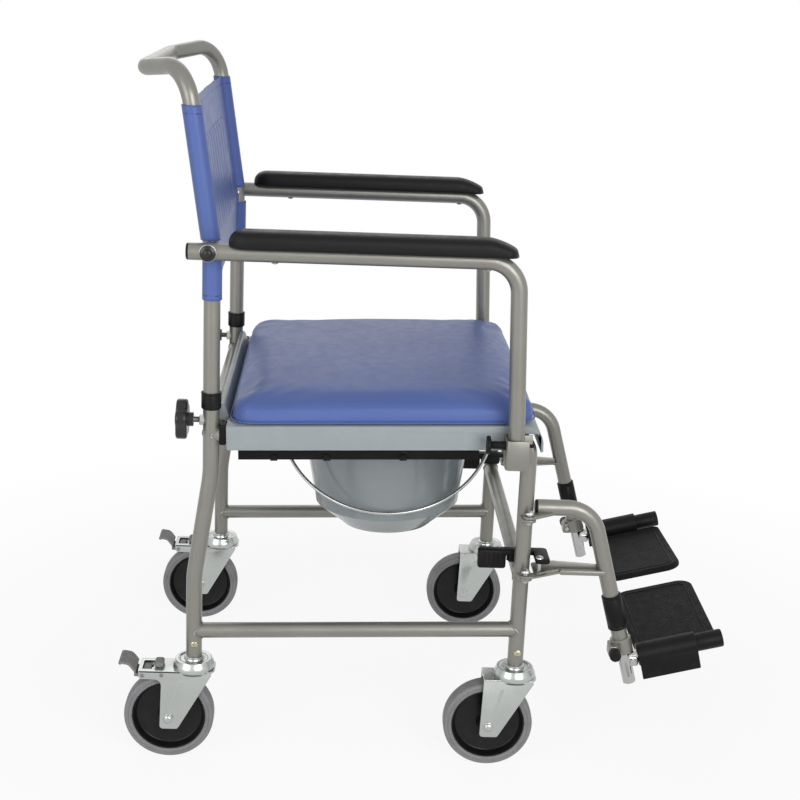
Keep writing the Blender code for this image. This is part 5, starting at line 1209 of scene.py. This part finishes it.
def castor(end, leg_y):
    braked = end == "rear"
    axle_y = leg_y + 0.034
    pin_y = leg_y + 0.0695
    axle = Vector((SIDE_X, axle_y, 0.0625))

    def fork(s):
        tail = leg_y + (0.0752 if braked else 0.044)
        plan = corners(oblong(0.2147, leg_y - 0.03, 0.2553, tail), (0.011, 0.011, 0.0015, 0.0015))
        window = corners(oblong(0.2215, leg_y + 0.0548, 0.2485, leg_y + 0.0702), (0.002,) * 4)
        s.plate(plan, 0.1324, 0.135, None, 0.0011, 4, [window] if braked else ())
        base = [(leg_y - 0.0285, 0.1345), (axle_y - 0.013, 0.047), (axle_y + 0.012, 0.047)]
        if braked:
            base += [(axle_y + 0.0095, 0.1215), (tail - 0.0003, 0.1225), (tail - 0.0003, 0.1345)]
            cheek = corners(base, (0.004, 0.005, 0.005, 0.009, 0.004, 0.0005), 9.0)
        else:
            cheek = corners(base + [(axle_y + 0.0098, 0.1345)], (0.004, 0.005, 0.005, 0.0005), 9.0)
        for low in (-0.0203, 0.0173):
            s.plate(cheek, low, low + 0.003, upright(SIDE_X), 0.0009)
            face = 0.0046 if low < 0 else -0.0016
            crease = [(axle_y - 0.001, 0.064), (axle_y - 0.007, 0.088), (axle_y - 0.018, 0.124)]
            s.sweep(rounded([(SIDE_X + low + face, y, z) for y, z in crease], (0.06,)), 0.0052, 24, 0.004)
        s.turned(DOME, (SIDE_X, leg_y, 0.1335), Z, 64)
        s.turned(mm(0, 0, 21.5, 0, 24, 0.6, 25.2, 2.2, 0, 2.2), (SIDE_X, leg_y, 0.1284), Z)

    def axle_bolt(s):
        s.rod(axle - X * 0.0218, axle + X * 0.0208, 0.004, 24)
        s.turned(mm(0, 0, 7, 0, 7.5, 0.4, 7.4, 1.2, 6.2, 1.6, 5.8, 2.8, 4, 4.1, 0, 4.6), axle + X * 0.0204, X, 40)
        s.turned(mm(0, 0, 7, 0, 7.5, 0.5, 7.5, 3.6, 6.8, 4.2, 4.2, 4.3, 4, 4.6, 0, 4.6), axle - X * 0.0204, -X, 6)

    def tyre(s):
        s.turned(TYRE_HALF_PROFILE + [(r, -x) for r, x in reversed(TYRE_HALF_PROFILE)], axle, X, 96, True)

    def hub(s):
        s.turned(HUB_HALF_PROFILE + [(r, -x) for r, x in reversed(HUB_HALF_PROFILE)], axle, X, 96, True)

    both(fork, "fork_%s_*_shell" % end, ZINC, "castor_%s_*" % end, "zinc", ["fork_%s_*" % end])
    both(axle_bolt, "axle_%s_*_bolt" % end, ZINC, "castor_%s_*" % end, "zinc", ["axle_%s_*" % end])
    both(tyre, "tyre_%s_*_tread" % end, TYRE, "wheel_%s_*" % end, "tyre_grey", ["tyre_%s_*" % end])
    both(hub, "hub_%s_*_disc" % end, HUB, "wheel_%s_*" % end, "black_plastic", ["hub_%s_*" % end])
    if not braked:
        return

    def pedal(s):
        spine = rounded([(0, leg_y + 0.0792, 0.1325), (0, leg_y + 0.088, 0.1438), (0, leg_y + 0.1002, 0.1455)],
                        (0.01,), 6.0)
        fine = []
        for one, two in zip(spine, spine[1:]):
            parts = max(1, round((two - one).length / 0.0005))
            fine += [one + (two - one) * (i / parts) for i in range(parts)]
        fine.append(spine[-1])
        upper, lower = [], []
        for i, point in enumerate(fine):
            on = (fine[min(i + 1, len(fine) - 1)] - fine[max(i - 1, 0)]).normalized()
            out = Vector((0, -on.z, on.y))
            rib = 0.0006 * max(0.0, math.sin(2 * math.pi * i / 4.4)) if 6 < i < len(fine) - 3 else 0.0
            upper.append(((point + out * (0.0016 + rib)).y, (point + out * (0.0016 + rib)).z))
            lower.append(((point - out * 0.0016).y, (point - out * 0.0016).z))
        s.plate(upper + lower[::-1], -0.019, 0.019, upright(SIDE_X), 0.0005, 1)
        s.rod((0.2158, leg_y + 0.1, 0.1445), (0.2542, leg_y + 0.1, 0.1445), 0.0024, 24, 0.001)
        s.block((0.2262, leg_y + 0.0585, 0.1262), (0.2438, leg_y + 0.0688, 0.1338), 0.0012)
        s.block((0.22, leg_y + 0.065, 0.123), (0.25, leg_y + 0.08, 0.1282), 0.0012)
        s.block((0.22, leg_y + 0.0789, 0.1232), (0.25, leg_y + 0.0815, 0.1345), 0.001)

    def catch(s):
        s.block((0.225, leg_y + 0.0412, 0.1345), (0.245, leg_y + 0.054, 0.1432), 0.0034, None, 4)
        for i in range(7):
            for j in range(4):
                at = Vector((0.2288 + 0.0021 * i, leg_y + 0.0444 + 0.0021 * j, 0.143))
                s.turned(mm(0.9, 0, 0.7, 0.4, 0, 0.5), at, Z, 8)

    def pin(s):
        for way in (1, -1):
            at = SIDE_X + way * 0.0202
            for y, z in ((pin_y, 0.1275), (leg_y + 0.043, 0.1285)):
                s.turned(mm(0, 0.4, 1.1, 0.4, 1.5, 1.3, 2.4, 1.3, 2.9, 0.3, 3, 0),
                         (at, y, z), X * way, 24)

    both(pedal, "pedal_*_tread", PEDAL, "pedal_*", "pedal_grey", ["brake_pedal_*"])
    both(catch, "brake_catch_*", PEDAL, "castor_rear_*", "pedal_grey")
    both(pin, "pedal_pin_*", STEEL, "castor_rear_*", "zinc")


castor("rear", REAR_Y)
castor("front", FRONT_Y)

# The pan guides keep their own solids
for node in ("pan_guide_left", "pan_guide_right"):
    for slot in bpy.data.objects[node].material_slots:
        slot.material = BLACK

# Floor, light and camera


def add_node(tree, kind, *sources, operation=None, **values):
    """A new node with its first inputs linked and other inputs set by name."""
    made = tree.nodes.new("ShaderNode" + kind)
    if operation:
        made.operation = operation
    for source, slot in zip(sources, made.inputs):
        tree.links.new(source, slot)
    for name, value in values.items():
        made.inputs[name.replace("_", " ")].default_value = value
    return made


def seen_plainly(tree):
    """1 for rays from the camera, a mirror or glass, and 0 for rays that light something."""
    paths = add_node(tree, "LightPath").outputs
    seen = add_node(tree, "Math", paths["Is Camera Ray"], paths["Is Glossy Ray"], operation="MAXIMUM")
    return add_node(tree, "Math", seen.outputs[0], paths["Is Transmission Ray"], operation="MAXIMUM").outputs[0]


def stage():
    """A matt floor that glows a little where it is looked at, so that only its soft shadow stays."""
    part = bmesh.new()
    bmesh.ops.create_grid(part, x_segments=1, y_segments=1, size=14)
    floor = placed("floor", part)
    look = bpy.data.materials.new("floor_white")
    look.use_nodes = True
    tree = look.node_tree
    shader = tree.nodes["Principled BSDF"]
    shader.inputs["Base Color"].default_value = (0.93, 0.93, 0.93, 1)
    shader.inputs["Roughness"].default_value = 0.8
    shader.inputs["Specular IOR Level"].default_value = 0.1
    glow = add_node(tree, "Emission", Strength=1.0)
    place = add_node(tree, "TexCoord").outputs["Object"]
    away = add_node(tree, "VectorMath", place, operation="LENGTH").outputs["Value"]
    ease = add_node(tree, "MapRange", away, From_Min=0.55, From_Max=1.25, To_Min=0.89, To_Max=1.0).outputs["Result"]
    share = add_node(tree, "Math", seen_plainly(tree), ease, operation="MULTIPLY")
    mix = add_node(tree, "MixShader", share.outputs[0], shader.outputs[0], glow.outputs[0])
    tree.links.new(mix.outputs[0], tree.nodes["Material Output"].inputs[0])
    floor.data.materials.append(look)


def world():
    """White where it is seen, dimmer where it lights."""
    scene.world = bpy.data.worlds.new("studio")
    scene.world.use_nodes = True
    tree = scene.world.node_tree
    tree.nodes.clear()
    seen_white = add_node(tree, "Background", Color=(1, 1, 1, 1), Strength=1.0)
    soft = add_node(tree, "Background", Color=(1, 1, 1, 1), Strength=0.27)
    mix = add_node(tree, "MixShader", seen_plainly(tree), soft.outputs[0], seen_white.outputs[0])
    add_node(tree, "OutputWorld", mix.outputs[0])


def lamp(name, at, size, power, aim=(0, 0, 0.45)):
    light = bpy.data.lights.new(name, "AREA")
    light.shape = "RECTANGLE"
    light.size, light.size_y = size
    light.energy = power
    made = add(name, light)
    made.location = at
    made.rotation_euler = (Vector(aim) - Vector(at)).to_track_quat("-Z", "Y").to_euler()


def camera():
    yaw, pitch, roll = (math.radians(value) for value in (1.4, 16.359, 2.18))
    ahead = Vector((math.cos(yaw) * math.cos(pitch), -math.sin(yaw) * math.cos(pitch), -math.sin(pitch)))
    right = ahead.cross(Z).normalized()
    up = right.cross(ahead)
    across_by = right * math.cos(roll) + up * math.sin(roll)
    up_by = up * math.cos(roll) - right * math.sin(roll)
    data = bpy.data.cameras.new("camera")
    data.sensor_width = 36
    data.lens = 68.93
    data.shift_x = 0.0359
    data.shift_y = 0.006
    made = add("camera", data)
    turn = Matrix((across_by, up_by, -ahead)).transposed().to_4x4()
    made.matrix_world = DATUM @ Matrix.Translation((-2.1833, -0.0161, 1.0936)) @ turn
    scene.camera = made


stage()
world()
lamp("key", (-2.8, -1.2, 1.5), (1.8, 1.8), 54)
lamp("fill", (-2.4, 2.0, 1.2), (1.8, 1.8), 30)
lamp("rim", (2.4, 0.6, 2.2), (1.6, 1.6), 9)
camera()
scene.view_settings.view_transform = "Standard"
